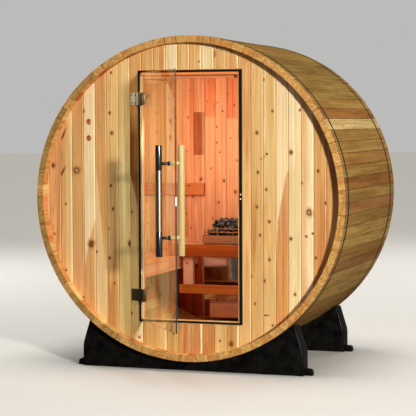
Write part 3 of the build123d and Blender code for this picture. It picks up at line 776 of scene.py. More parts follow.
walls = {n: Wood() for n in ("left", "vent_board", "hinge_side", "right", "over_door", "under_door")}
for k in range(-13, 13):
    x0, x1 = PITCH * k, PITCH * (k + 1)
    s = front_spec(k, FRONT_BOARDS[k])
    if x1 <= -0.6479:
        wall_piece(walls["left"], k, None, None, None, None, s)
    elif k == -9:
        wall_piece(walls["vent_board"], k, None, None, None, None, s, bored=(0.343, 0.437))
    elif x1 < -FRAME_X:
        wall_piece(walls["hinge_side"], k, None, None, None, None, s)
    elif x0 > FRAME_X:
        wall_piece(walls["right"], k, None, None, None, None, s)
    elif x0 < -FRAME_X:
        wall_piece(walls["hinge_side"], k, None, -FRAME_X, None, None, s)
        wall_piece(walls["over_door"], k, -FRAME_X, None, FRAME_TOP, None, s)
        wall_piece(walls["under_door"], k, -FRAME_X, None, None, FRAME_BOTTOM, s)
    elif x1 > FRAME_X:
        wall_piece(walls["right"], k, FRAME_X, None, None, None, s)
        wall_piece(walls["over_door"], k, None, FRAME_X, FRAME_TOP, None, s)
        wall_piece(walls["under_door"], k, None, FRAME_X, None, FRAME_BOTTOM, s)
    else:
        wall_piece(walls["over_door"], k, None, None, FRAME_TOP, None, s)
        wall_piece(walls["under_door"], k, None, None, None, FRAME_BOTTOM, front_spec(k, UNDER_BOARDS[k]))
for n, w in walls.items():
    w.piece("front_boards_" + n, M["wall_board"], "cabin", "wall_board", ["front_wall_" + n])

# rear wall: the same boards, some joined end to end; its inside face shows through the doorway
REAR_PITCH, REAR_START = 0.0743, -0.423
REAR_TONES = {-6: ("pink_tan",), -5: ("pink_tan", "straw"), -4: ("yellow", "pink_tan"), -3: ("pink_tan", "tan", "pink_tan"), -2: ("pink_tan", "tan"),
              -1: ("blush", "pink_tan"), 0: ("salmon", "salmon"), 1: ("salmon", "rust", "salmon"), 2: ("salmon", "flush"), 3: ("salmon", "salmon"),
              4: ("salmon", "flush"), 5: ("salmon", "amber")}
REAR_CUTS = {1: (0.224, 0.495), 2: (0.464,), 4: (0.454,), 0: (-0.30,), 3: (-0.52,)}
# knots of the rear wall that show through the doorway: across from the middle, above the axis, radius, all mm
REAR_KNOTS = (
    (-248, 684, 4), (-368, 633, 4), (-121, 608, 5), (-76, 537, 6), (-186, 555, 4), (-153, 500, 5), (-255, 561, 4), (-384, 462, 5), (-192, 401, 5),
    (-191, 302, 5), (-174, 241, 5), (-232, 138, 5), (-299, 70, 8), (-145, 61, 8), (-70, -9, 9), (-180, -75, 6), (-391, 246, 4), (-352, -41, 6),
    (-365, -241, 5), (-398, -150, 5), (-278, 22, 5), (-220, -180, 5), (-320, 330, 4), (-100, 330, 4), (-60, 190, 5),
)
rear = Wood()
for k in range(-7, 18):
    x0, x1 = REAR_START + REAR_PITCH * k, REAR_START + REAR_PITCH * (k + 1)
    if x1 < -WALL_R or x0 > WALL_R:
        continue
    rng = Random(900 + k)
    mid = (x0 + x1) / 2
    lo, hi = max(x0, -WALL_R + 0.0005) - mid, min(x1, WALL_R - 0.0005) - mid
    prof = board_profile(lo, hi, WALL_T, x0 > -WALL_R, x1 < WALL_R)
    edge = sqrt(max(0.0, WALL_R ** 2 - max(abs(mid + lo), abs(mid + hi)) ** 2))
    names = REAR_TONES.get(k) or tuple(rng.choice(("salmon", "amber", "pink_tan", "tan")) for _ in range(rng.choice((1, 2, 2))))
    n = len(names)
    cuts = [-edge] + [edge * (2 * (i + rng.uniform(-0.28, 0.28)) / n - 1) for i in range(1, n)] + [edge]
    if k in REAR_CUTS:
        cuts = [-edge] + list(REAR_CUTS[k]) + [edge]
    own = [(z / 1000.0, x / 1000.0 - mid, r * 0.86 / 1000.0) for x, z, r in REAR_KNOTS if x0 <= x / 1000.0 < x1]
    for i, nm in enumerate(names):
        a0, a1 = cuts[i], cuts[i + 1]
        knots = random_knots(rng, a0 + 0.04, a1 - 0.03, -0.030, 0.030, 3.2, (0.0016, 0.0045))
        if own:
            knots = [q for q in own if a0 < q[0] < a1] + [q for q in knots if q[0] < -0.28 or q[0] > 0.72]
        s = board(rng, nm, knots, sap=([(0, 0.020)], 0.2) if k == 1 else ([(0, rng.choice((-0.022, 0.024)))], 0.35) if rng.random() < 0.3 else None)
        # painted shade: redder and darker low down round the stove, where the benches and the guard shade the boards
        extra = []
        s["inside"] = Random(1300 + 10 * k + i).choice(("tan", "gold", "yellow", "flame", "pink_tan", "straw", "orange_tan", "gold"))
        if abs(mid) < 0.62 and a0 < -0.38:
            s["tones"] = [(-0.43, "deep_red"), (-0.37, nm if a1 > -0.37 else "deep_red")]
            extra = [-0.43, -0.37]
        rings = []
        for a in stops(a0, a1, knots, [t for t in extra if a0 < t < a1]):
            clip = arc_end(mid, -1) if a == -edge else arc_end(mid, 1) if a == edge else None
            rings.append((a, prof, clip))
        rear.prism(rings, upright_place(mid, REAR_WALL), s)
rear.piece("rear_boards", M["wall_board"], "cabin", "wall_board", ["rear_wall"])

# ------------------------------------------------------------------ door frame and the casing on its inside


def simple(seed, tones, la, width, per_metre=1.2, r=(0.002, 0.006), weather=0.0):
    rng = Random(seed)
    return board(rng, tones, random_knots(rng, 0.05, la - 0.05, -width / 2 + 0.006, width / 2 - 0.006, per_metre, r), weather)


jambs = Wood()
for i, x in enumerate((-FRAME_X, CLEAR_X)):
    L = CLEAR_TOP - CLEAR_BOTTOM
    plank(jambs, Vector((x, WALL_Y, AZ + CLEAR_BOTTOM)), Z, X, Y, (L, FRAME_X - CLEAR_X, WALL_T), simple(31 + i, ("cream", "pink_tan")[i], L, 0.026, 0.8), 0.0014)
jambs.piece("frame_jambs", M["frame_wood"], "cabin", "frame_wood", ["door_jambs"])
head = Wood()
# painted light: the head's bright orange stands in for the warm light on its underside
plank(head, Vector((-FRAME_X, WALL_Y, AZ + CLEAR_TOP)), X, Z, Y, (2 * FRAME_X, FRAME_TOP - CLEAR_TOP, WALL_T), simple(33, "glow", 0.624, 0.032, 0.8), 0.0014)
head.piece("frame_head", M["frame_wood"], "cabin", "frame_wood", ["door_head"])
sill = Wood()
plank(sill, Vector((-FRAME_X, WALL_Y, AZ + FRAME_BOTTOM)), X, Z, Y, (2 * FRAME_X, CLEAR_BOTTOM - FRAME_BOTTOM, WALL_T), simple(34, "yellow", 0.624, 0.027, 0.8), 0.0014)
sill.piece("frame_sill", M["frame_wood"], "cabin", "frame_wood", ["door_sill"])
casing = Wood()
for i, x in enumerate((-CLEAR_X - 0.060, CLEAR_X)):
    L = 0.678 - FRAME_BOTTOM
    plank(casing, Vector((x, WALL_BACK + 0.019, AZ + FRAME_BOTTOM)), Z, X, -Y, (L, 0.060, 0.019), simple(35 + i, "amber", L, 0.06), 0.0025)
plank(casing, Vector((-CLEAR_X - 0.060, WALL_BACK + 0.019, AZ + 0.6785)), X, Z, -Y, (2 * CLEAR_X + 0.120, 0.0595, 0.019), simple(37, "salmon", 0.692, 0.06), 0.0025)
casing.piece("inside_casing", M["frame_wood"], "cabin", "frame_wood", ["inner_casing"])

# ------------------------------------------------------------------ floor, benches, backrests, guard
fx = (6 * 0.095 + 5 * 0.009) / 2
floor_w = Wood()
y0, y1 = WALL_BACK + 0.004, REAR_WALL - 0.006
for i in range(6):
    x = -fx + i * 0.104
    plank(floor_w, Vector((x, y0, AZ - 0.800)), Y, X, -Z, (y1 - y0, 0.095, 0.020), simple(50 + i, ("rust", "amber", "salmon")[i % 3], y1 - y0, 0.095, 2.5), 0.003)
floor_w.piece("floor_slats", M["bench_wood"], "cabin", "bench_wood", ["floor_boards"])

bearers = Wood()
for i, y in enumerate((WALL_BACK + 0.080, (WALL_BACK + REAR_WALL) / 2, REAR_WALL - 0.080)):
    rng = Random(60 + i)
    spec = board(rng, "rust", random_knots(rng, -fx + 0.03, fx - 0.03, -0.03, 0.03, 2.0))
    top, r = -0.820, R_IN * cos(HALF) - 0.0005
    rings = []
    for j in range(13):
        a = -fx + 2 * fx * j / 12
        low = -sqrt(r * r - a * a)
        low = min(low, top - 0.006)
        e = 0.0015
        rings.append((a, [(top - e, 0.0), (top, e), (top, 0.045 - e), (top - e, 0.045), (low + e, 0.045), (low, 0.045 - e), (low, e), (low + e, 0.0)], None))
    bearers.prism(rings, lambda a, b, d, y=y: Vector((a, y - 0.0225 + d, AZ + b)), spec)
bearers.piece("floor_bearer_blocks", M["bench_wood"], "cabin", "bench_wood", ["floor_bearers"])

y0, y1 = WALL_BACK + 0.020, REAR_WALL - 0.002
slat = (0.430 - 3 * 0.010) / 4
for side, nm in ((-1, "left"), (1, "right")):
    w = Wood()
    for i in range(4):
        a = 0.338 + i * (slat + 0.010)
        x = a if side > 0 else -a - slat
        plank(w, Vector((x, y0, AZ - 0.389)), Y, X, -Z, (y1 - y0, slat, 0.027), simple(70 + i + side * 5, ("amber", "salmon", "pink_tan", "amber")[i], y1 - y0, slat, 2.2), 0.003)
    w.piece("seat_slats_" + nm, M["bench_wood"], "cabin", "bench_wood", ["bench_seat_" + nm])
w = Wood()
for x in (-0.338, 0.318):
    plank(w, Vector((x, y0, AZ - 0.389)), Y, -Z, X, (y1 - y0, 0.080, 0.020), simple(81 + int(x * 10), "salmon", y1 - y0, 0.080, 2.0), 0.003)
w.piece("seat_fascias", M["bench_wood"], "cabin", "bench_wood", ["bench_fascias"])
w = Wood()
for i, (xa, xb, y) in enumerate(((-0.705, -CLEAR_X - 0.061, WALL_BACK), (CLEAR_X + 0.061, 0.705, WALL_BACK), (-0.705, -0.338, REAR_WALL - 0.038), (0.338, 0.705, REAR_WALL - 0.038))):
    plank(w, Vector((xa, y, AZ - 0.416 - 0.089)), X, Z, Y, (xb - xa, 0.089, 0.038), simple(85 + i, "rust", xb - xa, 0.089, 2.0), 0.0025)
w.piece("seat_cleats", M["bench_wood"], "cabin", "bench_wood", ["bench_cleats"])
w = Wood()
for i, x in enumerate((-0.868, 0.272)):
    s = simple(90 + i, "rust", 0.596, 0.076, 4.0, (0.003, 0.006))
    plank(w, Vector((x, REAR_WALL - 0.025, AZ - 0.030)), X, Z, Y, (0.596, 0.076, 0.025), s, 0.003)
w.piece("backrest_boards", M["bench_wood"], "cabin", "bench_wood", ["backrests"])
gy = FRONT + 0.755
w = Wood()
plank(w, Vector((-0.400, gy, AZ - 0.389)), X, Z, Y, (0.800, 0.073, 0.025), simple(94, "rust_red", 0.8, 0.073, 2.0), 0.003)
plank(w, Vector((-0.316, gy, AZ - 0.617)), X, Z, Y, (0.632, 0.055, 0.025), simple(95, "copper_red", 0.632, 0.055, 2.0), 0.003)
w.piece("guard_bars", M["bench_wood"], "cabin", "bench_wood", ["guard_rails"])
w = Wood()
for i, x in enumerate((-0.300, 0.236)):
    plank(w, Vector((x, gy + 0.025, AZ - 0.617)), Z, X, Y, (0.301, 0.064, 0.038), simple(97 + i, "rose", 0.301, 0.064, 2.0), 0.003)
w.piece("guard_uprights", M["bench_wood"], "cabin", "bench_wood", ["guard_posts"])


# ------------------------------------------------------------------ other materials
def plain_material(name, base, rough, metal=0.0, vary=0.12, scale=40.0, bump=0.15, dist=0.0004, brushed=None, spread=0.18, **kw):
    """Metal, rubber or plastic with fine variation in colour and roughness; brushed stretches it along one axis."""
    m = Nodes(name)
    p = m.object()
    if brushed:
        x, y, z = m.split(p)
        p = m.vec(m.mul(x, brushed[0]), m.mul(y, brushed[1]), m.mul(z, brushed[2]))
    n1 = m.noise(p, scale, 3.0, 0.6)
    n2 = m.noise(p, scale * 7, 2.0, 0.6)
    dark = tuple(c * (1 - vary) for c in base[:3]) + (1,)
    light = tuple(min(1.0, c * (1 + vary) + 0.02 * vary) for c in base[:3]) + (1,)
    col = m.mix(m.smooth(n1, 0.3, 0.7), dark, light)
    r = m.add(m.mad(n1, spread, rough - spread / 2), m.mul(m.sub(n2, 0.5), spread / 3))
    h = m.add(n2, m.mul(n1, 0.5))
    return m.finish(col, r, m.bump(h, bump, dist), Metallic=metal, **kw)


M["seal"] = plain_material("seal_rubber", (0.0035, 0.0035, 0.0035), 0.6, vary=0.3, scale=120, Specular_IOR_Level=0.12)
# painted reflection: the upper wall plate and the keeper's screws are near-white for the bright sky the polished plate
# reflects
M["hinge_steel"] = plain_material("hinge_plate_painted_sheen", (0.98, 0.95, 0.80), 0.42, 0.05, 0.06, 60, 0.06, 0.0001, (1, 1, 9))
# painted reflection and shade: the upper clamps' dark olive-brown stands in for the cedar the polished steel reflects,
# darkened against the key light on them
M["clamp_steel"] = plain_material("hinge_clamp_painted_reflection", (0.175, 0.136, 0.078), 0.36, 0.35, 0.12, 60, 0.12, 0.0002, (1, 1, 9))
# painted light: a lighter copy of the hinge metal for the upper arm, to offset the clamp's shadow on it
M["arm_steel"] = plain_material("hinge_arm_painted_light", (0.60, 0.47, 0.27), 0.40, 0.2, 0.10, 60, 0.08, 0.0001, (1, 1, 9))
M["rim_copper"] = plain_material("heater_rim_copper", (0.50, 0.215, 0.095), 0.36, 0.5, 0.08, 40, 0.08, 0.0003, (4, 1, 1))
M["screw"] = plain_material("screw_steel", (0.075, 0.070, 0.060), 0.42, 0.6, 0.15, 200, 0.1, 0.0001)
# painted shade: a dark copy of the hinge metal for the lower hinge, which is the same hardware as the upper one
M["bronze"] = plain_material("hinge_bronzed", (0.062, 0.050, 0.022), 0.40, 0.30, 0.18, 70, 0.14, 0.0002, (1, 1, 9))
M["handle_steel"] = plain_material("handle_polished", (0.33, 0.28, 0.22), 0.32, 1.0, 0.04, 80, 0.02, 0.00005, (1, 1, 0.2), 0.05)
M["handle_black"] = plain_material("handle_black_gloss", (0.006, 0.005, 0.004), 0.21, 0.0, 0.2, 90, 0.02, 0.0001, spread=0.06, Specular_IOR_Level=1.0)
M["catch"] = plain_material("catch_white", (0.70, 0.70, 0.68), 0.35, 0.0, 0.06, 90, 0.08, 0.0001)
M["band_steel"] = plain_material("band_dull_steel", (0.016, 0.015, 0.014), 0.5, 0.4, 0.3, 35, 0.2, 0.0003)
M["cradle_black"] = plain_material("cradle_black_satin", (0.0017, 0.0014, 0.0007), 0.32, 0.0, 0.25, 22, 0.12, 0.0005, Specular_IOR_Level=0.14)
M["heater_steel"] = plain_material("heater_sheet_steel", (0.46, 0.41, 0.38), 0.13, 1.0, 0.06, 26, 0.06, 0.0003, (6, 1, 1))
# painted light: a much lighter copy of the rim's copper for the dimly lit lower box
M["heater_copper"] = plain_material("heater_copper_painted_light", (0.88, 0.48, 0.27), 0.42, 0.3, 0.08, 40, 0.08, 0.0003, (4, 1, 1))
M["heater_dark"] = plain_material("heater_dark_parts", (0.03, 0.028, 0.026), 0.5, 0.3, 0.2, 60, 0.15, 0.0003)


def stone_material():
    m = Nodes("dark_stone")
    p = m.object()
    n1 = m.noise(p, 26.0, 4.0, 0.6)
    n2 = m.noise(p, 260.0, 3.0, 0.7)
    isle = m.new("ShaderNodeNewGeometry").outputs["Random Per Island"]
    col = m.mix(isle, (0.008, 0.006, 0.006, 1), (0.050, 0.038, 0.034, 1))
    col = m.mix(m.smooth(n1, 0.40, 0.70, 0.0, 0.8), col, (0.055, 0.042, 0.036, 1))
    # painted highlights: pale flecks stand in for glints on the stones' faces
    col = m.mix(m.smooth(n2, 0.57, 0.68, 0.0, 0.9), col, (0.66, 0.58, 0.53, 1))
    return m.finish(col, m.mad(n1, 0.3, 0.22), m.bump(m.add(n2, n1), 0.4, 0.0012), Specular_IOR_Level=0.6)


M["stone"] = stone_material()


def glass_material():
    """Clear toughened glass with a faint green-grey cast; it lets light through to what stands behind it."""
    m = Nodes("toughened_glass")
    p = m.object()
    haze = m.noise(p, 9.0, 3.0, 0.6)
    g = m.new("ShaderNodeBsdfPrincipled")
    m.put(g.inputs["Base Color"], m.mix(haze, (0.995, 1.0, 0.99, 1), (0.985, 0.995, 0.98, 1)))
    m.put(g.inputs["Roughness"], m.mad(haze, 0.012, 0.0))
    g.inputs["IOR"].default_value = 1.5
    g.inputs["Transmission Weight"].default_value = 1.0
    t = m.new("ShaderNodeBsdfTransparent")
    t.inputs["Color"].default_value = (0.62, 0.54, 0.40, 1)
    lp = m.new("ShaderNodeLightPath")
    mix = m.new("ShaderNodeMixShader")
    m.t.links.new(lp.outputs["Is Shadow Ray"], mix.inputs[0])
    m.t.links.new(g.outputs[0], mix.inputs[1])
    m.t.links.new(t.outputs[0], mix.inputs[2])
    o = m.new("ShaderNodeOutputMaterial")
    m.t.links.new(mix.outputs[0], o.inputs["Surface"])
    return m.mat


M["glass"] = glass_material()
M["glass_edge"] = plain_material("glass_edge_dark", (0.020, 0.028, 0.026), 0.22, 0.0, 0.15, 70, 0.05, 0.0001, Specular_IOR_Level=0.4)


# ------------------------------------------------------------------ plain solids: lathed, extruded and folded
class Solid:
    """One bmesh that gathers closed parts; each part's faces take the material number current at the time."""
    def __init__(self):
        self.bm = bmesh.new()
        self.slot = 0

    def lathe(self, profile, origin, axis, segs=32):
        """profile = [(radius, height along axis)]; closed by its ends on the axis."""
        axis = axis.normalized()
        side = axis.orthogonal().normalized()
        up = axis.cross(side)
        rows = []
        for r, h in profile:
            if r <= 1e-7:
                rows.append([self.bm.verts.new(origin + axis * h)])
            else:
                rows.append([self.bm.verts.new(origin + axis * h + (side * cos(2 * pi * i / segs) + up * sin(2 * pi * i / segs)) * r) for i in range(segs)])
        for a, b in zip(rows, rows[1:]):
            for i in range(segs):
                j = (i + 1) % segs
                q = [a[i % len(a)], a[j % len(a)], b[j % len(b)], b[i % len(b)]]
                u = []
                for v in q:
                    if v not in u:
                        u.append(v)
                if len(u) > 2:
                    f = self.bm.faces.new(u)
                    f.material_index = self.slot
                    f.smooth = True
        return rows

    def extrude(self, pts, depth, bevel=0.0, steps=2, pick=None):
        """pts is a closed polygon of Vectors, depth a Vector; bevel rounds the edges that pick chooses."""
        lo = [self.bm.verts.new(p) for p in pts]
        hi = [self.bm.verts.new(p + depth) for p in pts]
        faces = [self.bm.faces.new(lo), self.bm.faces.new(list(reversed(hi)))]
        n = len(pts)
        for i in range(n):
            faces.append(self.bm.faces.new((lo[i], lo[(i + 1) % n], hi[(i + 1) % n], hi[i])))
        bmesh.ops.recalc_face_normals(self.bm, faces=faces)
        for f in faces:
            f.material_index = self.slot
        if bevel > 0:
            edges = {e for f in faces for e in f.edges}
            if pick:
                edges = {e for e in edges if pick(e)}
            out = bmesh.ops.bevel(self.bm, geom=list(edges), offset=bevel, segments=steps, affect="EDGES", profile=0.5, clamp_overlap=True)
            for f in out["faces"]:
                f.material_index = self.slot
                f.smooth = True
        return faces

    def box(self, o, a, b, c, bevel=0.001, steps=2):
        """A block from corner o spanned by Vectors a, b, c with rounded edges."""
        return self.extrude([o, o + a, o + a + b, o + b], c, bevel, steps)

    def piece(self, name, mats, body, slot, nodes, smooth=35):
        bmesh.ops.recalc_face_normals(self.bm, faces=self.bm.faces)
        me = bpy.data.meshes.new(name)
        self.bm.to_mesh(me)
        self.bm.free()
        for m in mats:
            me.materials.append(m)
        if smooth:
            me.polygons.foreach_set("use_smooth", [True] * len(me.polygons))
            me.set_sharp_from_angle(angle=radians(smooth))
        return show(name, me, body, nodes)


def screw(s, p, n, r=0.0042):
    """A low screw head with a socket, standing on p with outward normal n."""
    s.lathe([(0, -0.0002), (r, -0.0002), (r, 0.0004), (r * 0.86, 0.0011), (r * 0.45, 0.0013), (r * 0.42, 0.0003), (0, 0.0003)], p, n, 20)


# ------------------------------------------------------------------ seal round the doorway, keeper, hinges
SL, SR, SB, ST = -0.3050, 0.3115, AZ - 0.7025, AZ + 0.7245
WL, WR, WB, WT = 0.0105, 0.016, 0.012, 0.013
seal = Solid()
section = []
for i in range(13):
    t = pi * i / 12
    section.append((0.5 - 0.5 * cos(t), -(0.0035 + 0.0035 * sin(t) ** 0.6)))
section = [(0.0, 0.0)] + section + [(1.0, 0.0)]
# runs from just above the keeper, round the doorway, to just below it: outside corner and the way across the strip
route = [(SR, AZ + 0.042, -WR, 0), (SR, ST, -WR, -WT), (SL, ST, WL, -WT), (SL, SB, WL, WB), (SR, SB, -WR, WB), (SR, AZ - 0.020, -WR, 0)]
rows = []
for x, z, wx, wz in route:
    rows.append([seal.bm.verts.new(Vector((x + wx * off, WALL_Y + y, z + wz * off))) for off, y in section])
for r0, r1 in zip(rows, rows[1:]):
    for j in range(len(section)):
        k = (j + 1) % len(section)
        seal.bm.faces.new((r0[j], r0[k], r1[k], r1[j]))
seal.bm.faces.new(rows[0])
seal.bm.faces.new(rows[-1])
seal.piece("doorway_seal", [M["seal"]], "cabin", "seal", ["door_seal"])

keep = Solid()
keep.box(Vector((0.2955, WALL_Y - 0.007, AZ - 0.019)), X * 0.016, Z * 0.060, Y * 0.007, 0.0012)
keep.slot = 1
for z in (0.0035, 0.0285):
    screw(keep, Vector((0.3035, WALL_Y - 0.007, AZ + z)), -Y, 0.0042)
keep.piece("strike_keeper", [M["cradle_black"], M["hinge_steel"]], "cabin", "hinge_steel", ["catch_keeper"])

PX0, PX1, PT = -0.352, -0.309, 0.005
HH = 0.068
KH = HH / 3
plates = Solid()
for zc in (0.565, -0.551):
    z0 = AZ + zc - HH / 2
    # painted shade: the lower hinge's plate and arm take the dark copy of the metal
    tint = 0 if zc > 0 else 2
    plates.slot = tint
    plates.box(Vector((PX0, WALL_Y - PT, z0)), X * (PX1 - PX0), Z * HH, Y * PT, 0.0012)
    # arm over the seal to the knuckle; its first 7 mm takes the plate's colour: painted reflection on the upper hinge,
    # painted shade on the lower
    plates.box(Vector((PX1 - 0.002, PIVOT.y, z0)), X * 0.0070, Z * HH, Y * 0.006, 0.0008)
    # painted light on the upper arm, painted shade on the lower one
    plates.slot = 3 if zc > 0 else 2
    plates.box(Vector((PX1 + 0.0048, PIVOT.y, z0)), X * (-0.287 - PX1 - 0.0048), Z * HH, Y * 0.006, 0.0008)
    plates.box(Vector((PX1 - 0.0018, PIVOT.y + 0.004, z0 + 0.001)), X * (SL - 0.001 - PX1 + 0.0018), Z * (HH - 0.002), Y * 0.0125, 0.0004)
    plates.box(Vector((-0.288, PIVOT.y + 0.0002, AZ + zc - KH / 2 + 0.0006)), X * 0.008, Z * (KH - 0.0012), Y * 0.0056, 0.0004)
    plates.lathe([(0, 0), (0.0072, 0), (0.008, 0.0008), (0.008, KH - 0.0013), (0.0072, KH - 0.0005), (0, KH - 0.0005)],
                 Vector((PIVOT.x, PIVOT.y, AZ + zc - KH / 2 + 0.00025)), Z, 28)
    plates.slot = 1
    plates.lathe([(0, 0), (0.0026, 0), (0.003, 0.0005), (0.003, HH - 0.0005), (0.0026, HH), (0, HH)], Vector((PIVOT.x, PIVOT.y, z0)), Z, 20)
    for dx in (0.0095, 0.0300):
        for dz in (0.012, HH - 0.012):
            screw(plates, Vector((PX0 + dx, WALL_Y - PT, z0 + dz)), -Y, 0.0040)
plates.piece("hinge_plates", [M["hinge_steel"], M["screw"], M["bronze"], M["arm_steel"]], "cabin", "hinge_steel", ["hinge_wall_plates"])


def dbox(s, s0, s1, n0, n1, z0, z1, bevel=0.001, steps=2):
    return s.box(door(s0, n0, z0), ALONG * (s1 - s0), INWARD * (n1 - n0), UP * (z1 - z0), bevel, steps)


clamps = Solid()
for zc in (0.565, -0.551):
    z0 = zc - HH / 2
    # painted shade: the lower clamps take the dark copy of the metal
    clamps.slot = 0 if zc > 0 else 2
    dbox(clamps, 0.012, 0.048, -0.011, -0.004, z0, z0 + HH, 0.0010)
    dbox(clamps, 0.016, 0.048, 0.004, 0.011, z0, z0 + HH, 0.0010)
    dbox(clamps, 0.011, 0.0165, -0.005, 0.005, z0, z0 + HH, 0.0003, 1)
    for zk in (z0, zc + KH / 2 + 0.00025):
        h = KH - 0.00025
        clamps.lathe([(0.00305, 0), (0.0072, 0), (0.008, 0.0008), (0.008, h - 0.0008), (0.0072, h), (0.00305, h), (0.00305, 0)], door(0, 0, zk), Z, 28)
        dbox(clamps, 0.0065, 0.0145, -0.005, 0.005, zk, zk + h, 0.0003, 1)
    clamps.slot = 1
    for sz in (z0 + 0.016, z0 + HH - 0.016):
        screw(clamps, door(0.033, -0.011, sz), -INWARD, 0.0042)
        screw(clamps, door(0.033, 0.011, sz), INWARD, 0.0042)
bmesh.ops.remove_doubles(clamps.bm, verts=clamps.bm.verts, dist=1e-6)
clamps.piece("glass_clamps", [M["clamp_steel"], M["screw"], M["bronze"]], "door", "clamp_steel", ["hinge_clamps"])

# ------------------------------------------------------------------ glass leaf with arrised edges, notched at its hinges
GS, GW, GT, GZ0, GZ1 = -0.0085, 0.592, 0.008, -0.697, 0.715
outline = [(GS, GZ0), (GW, GZ0), (GW, GZ1), (GS, GZ1)]
for zc in (0.565, -0.551):
    outline += [(GS, zc + 0.040), (0.0165, zc + 0.040), (0.0165, zc - 0.040), (GS, zc - 0.040)]
glass = Solid()
arris = 0.0008


def inset(path, e):
    """The outline moved in by e."""
    out = []
    n = len(path)
    for i, (s, z) in enumerate(path):
        (s0, z0), (s1, z1) = path[i - 1], path[(i + 1) % n]
        d0 = Vector((s - s0, z - z0)).normalized()
        d1 = Vector((s1 - s, z1 - z)).normalized()
        n0, n1 = Vector((-d0.y, d0.x)), Vector((-d1.y, d1.x))
        out.append((s + (n0.x + n1.x) * e, z + (n0.y + n1.y) * e))
    return out


rows = []
for e, n in ((arris, -GT / 2), (0.0, -GT / 2 + arris), (0.0, GT / 2 - arris), (arris, GT / 2)):
    rows.append([glass.bm.verts.new(door(s, n, z)) for s, z in inset(outline, e)])
for r0, r1 in zip(rows, rows[1:]):
    for i in range(len(r0)):
        j = (i + 1) % len(r0)
        f = glass.bm.faces.new((r0[i], r0[j], r1[j], r1[i]))
        # the free, top and bottom edges look dark; the one beside the hinges is clear
        f.material_index = 1 if max(outline[i][0], outline[j][0]) > 0.1 else 0
glass.bm.faces.new(rows[0]).material_index = 0
glass.bm.faces.new(rows[-1]).material_index = 0
glass.piece("glass_leaf", [M["glass"], M["glass_edge"]], "door", "glass", ["door_glass"], smooth=None)

# ------------------------------------------------------------------ handles and catch
HS, HN, HR, HZ0, HZ1, GRIP = 0.495, 0.064, 0.018, -0.290, 0.310, 0.135
bar = Solid()
L = HZ1 - HZ0 - 2 * GRIP
bar.lathe([(0, 0), (HR - 0.0012, 0), (HR - 0.0005, 0.0008), (HR - 0.0005, L - 0.0008), (HR - 0.0012, L), (0, L)], door(HS, -HN, HZ0 + GRIP), Z, 48)
bar.piece("outside_bar_middle", [M["handle_steel"]], "door", "handle_steel", ["outer_handle_bar"])
grips = Solid()
for z0, zs in ((HZ0, -0.189), (HZ1 - GRIP, 0.211)):
    prof = [(0, 0), (HR - 0.003, 0)] + [(HR - 0.003 + 0.003 * sin(radians(t)), 0.003 - 0.003 * cos(radians(t))) for t in (30, 60, 90)]
    prof += [(HR - 0.003 + 0.003 * cos(radians(t)), GRIP - 0.003 + 0.003 * sin(radians(t))) for t in (0, 30, 60)] + [(HR - 0.003, GRIP), (0, GRIP)]
    grips.lathe(prof, door(HS, -HN, z0), Z, 48)
    n_face = -GT / 2
    ln = HN - GT / 2 - 0.010
    grips.lathe([(0, 0), (0.0125, 0), (0.0125, 0.0045), (0.0115, 0.0075), (0.0090, 0.0105), (0.0085, 0.014), (0.0085, ln - 0.004), (0.0095, ln), (0, ln)],
                door(HS, n_face, zs), -INWARD, 40)
grips.piece("outside_bar_grips", [M["handle_black"]], "door", "handle_black", ["outer_handle_grips"])

inner = Wood()


def turned(w, origin, A, B, D, profile, spec, segs=28):
    """A turned bar: profile = [(radius, along)]."""
    rings = []
    for r, a in profile:
        rings.append((a, [(r * cos(2 * pi * i / segs), r * sin(2 * pi * i / segs)) for i in range(segs)], None))
    w.prism(rings, lambda a, b, d: origin + A * a + B * b + D * d, spec)


rng = Random(120)
L = HZ1 - HZ0
ends = [(HR - 0.004, 0)] + [(HR - 0.004 + 0.004 * sin(radians(t)), 0.004 - 0.004 * cos(radians(t))) for t in (30, 60, 90)]
turned(inner, door(HS, HN, HZ0), Z, ALONG, INWARD, ends + [(HR, 0.3)] + [(r, L - a) for r, a in reversed(ends)], board(rng, "handle_tan"), 40)
for i, zs in enumerate((-0.189, 0.211)):
    turned(inner, door(HS, GT / 2, zs), INWARD, ALONG, UP, [(0.0115, 0), (0.0115, 0.003), (0.011, 0.006), (0.011, HN - GT / 2 - 0.008)], board(Random(121 + i), "handle_tan"), 28)
inner.piece("inside_bar", M["handle_wood"], "door", "handle_wood", ["inner_handle"], smooth=40)

catch = Solid()
o = [(GW - 0.014, -0.005), (GW + 0.001, -0.005), (GW + 0.001, 0.005), (GW - 0.014, 0.005), (GW - 0.014, 0.004), (GW, 0.004), (GW, -0.004), (GW - 0.014, -0.004)]
catch.extrude([door(s, n, -0.013) for s, n in o], UP * 0.048, 0.0004, 1)
catch.piece("catch_clip", [M["catch"]], "door", "clamp_steel", ["catch_plate"])

# ------------------------------------------------------------------ steel bands lying on the staves
for nm, yc in (("front_band", FRONT + 0.072), ("rear_band", FRONT + 1.147)):
    s = Solid()
    bw, bt, e = 0.019, 0.0013, 0.0004
    sec = [(R_OUT + 0.00002, -bw / 2), (R_OUT + bt - e, -bw / 2), (R_OUT + bt, -bw / 2 + e), (R_OUT + bt, bw / 2 - e), (R_OUT + bt - e, bw / 2), (R_OUT + 0.00002, bw / 2)]
    n = 252
    rows = []
    for i in range(n):
        t = 2 * pi * (i / n) + 2 * HALF * PHASE
        rows.append([s.bm.verts.new(Vector((r * cos(t), yc + y, AZ + r * sin(t)))) for r, y in sec])
    for i in range(n):
        r0, r1 = rows[i], rows[(i + 1) % n]
        for j in range(len(sec)):
            k = (j + 1) % len(sec)
            s.bm.faces.new((r0[j], r0[k], r1[k], r1[j]))
    s.piece("steel_" + nm, [M["band_steel"]], "cabin", "band_steel", [nm], smooth=30)

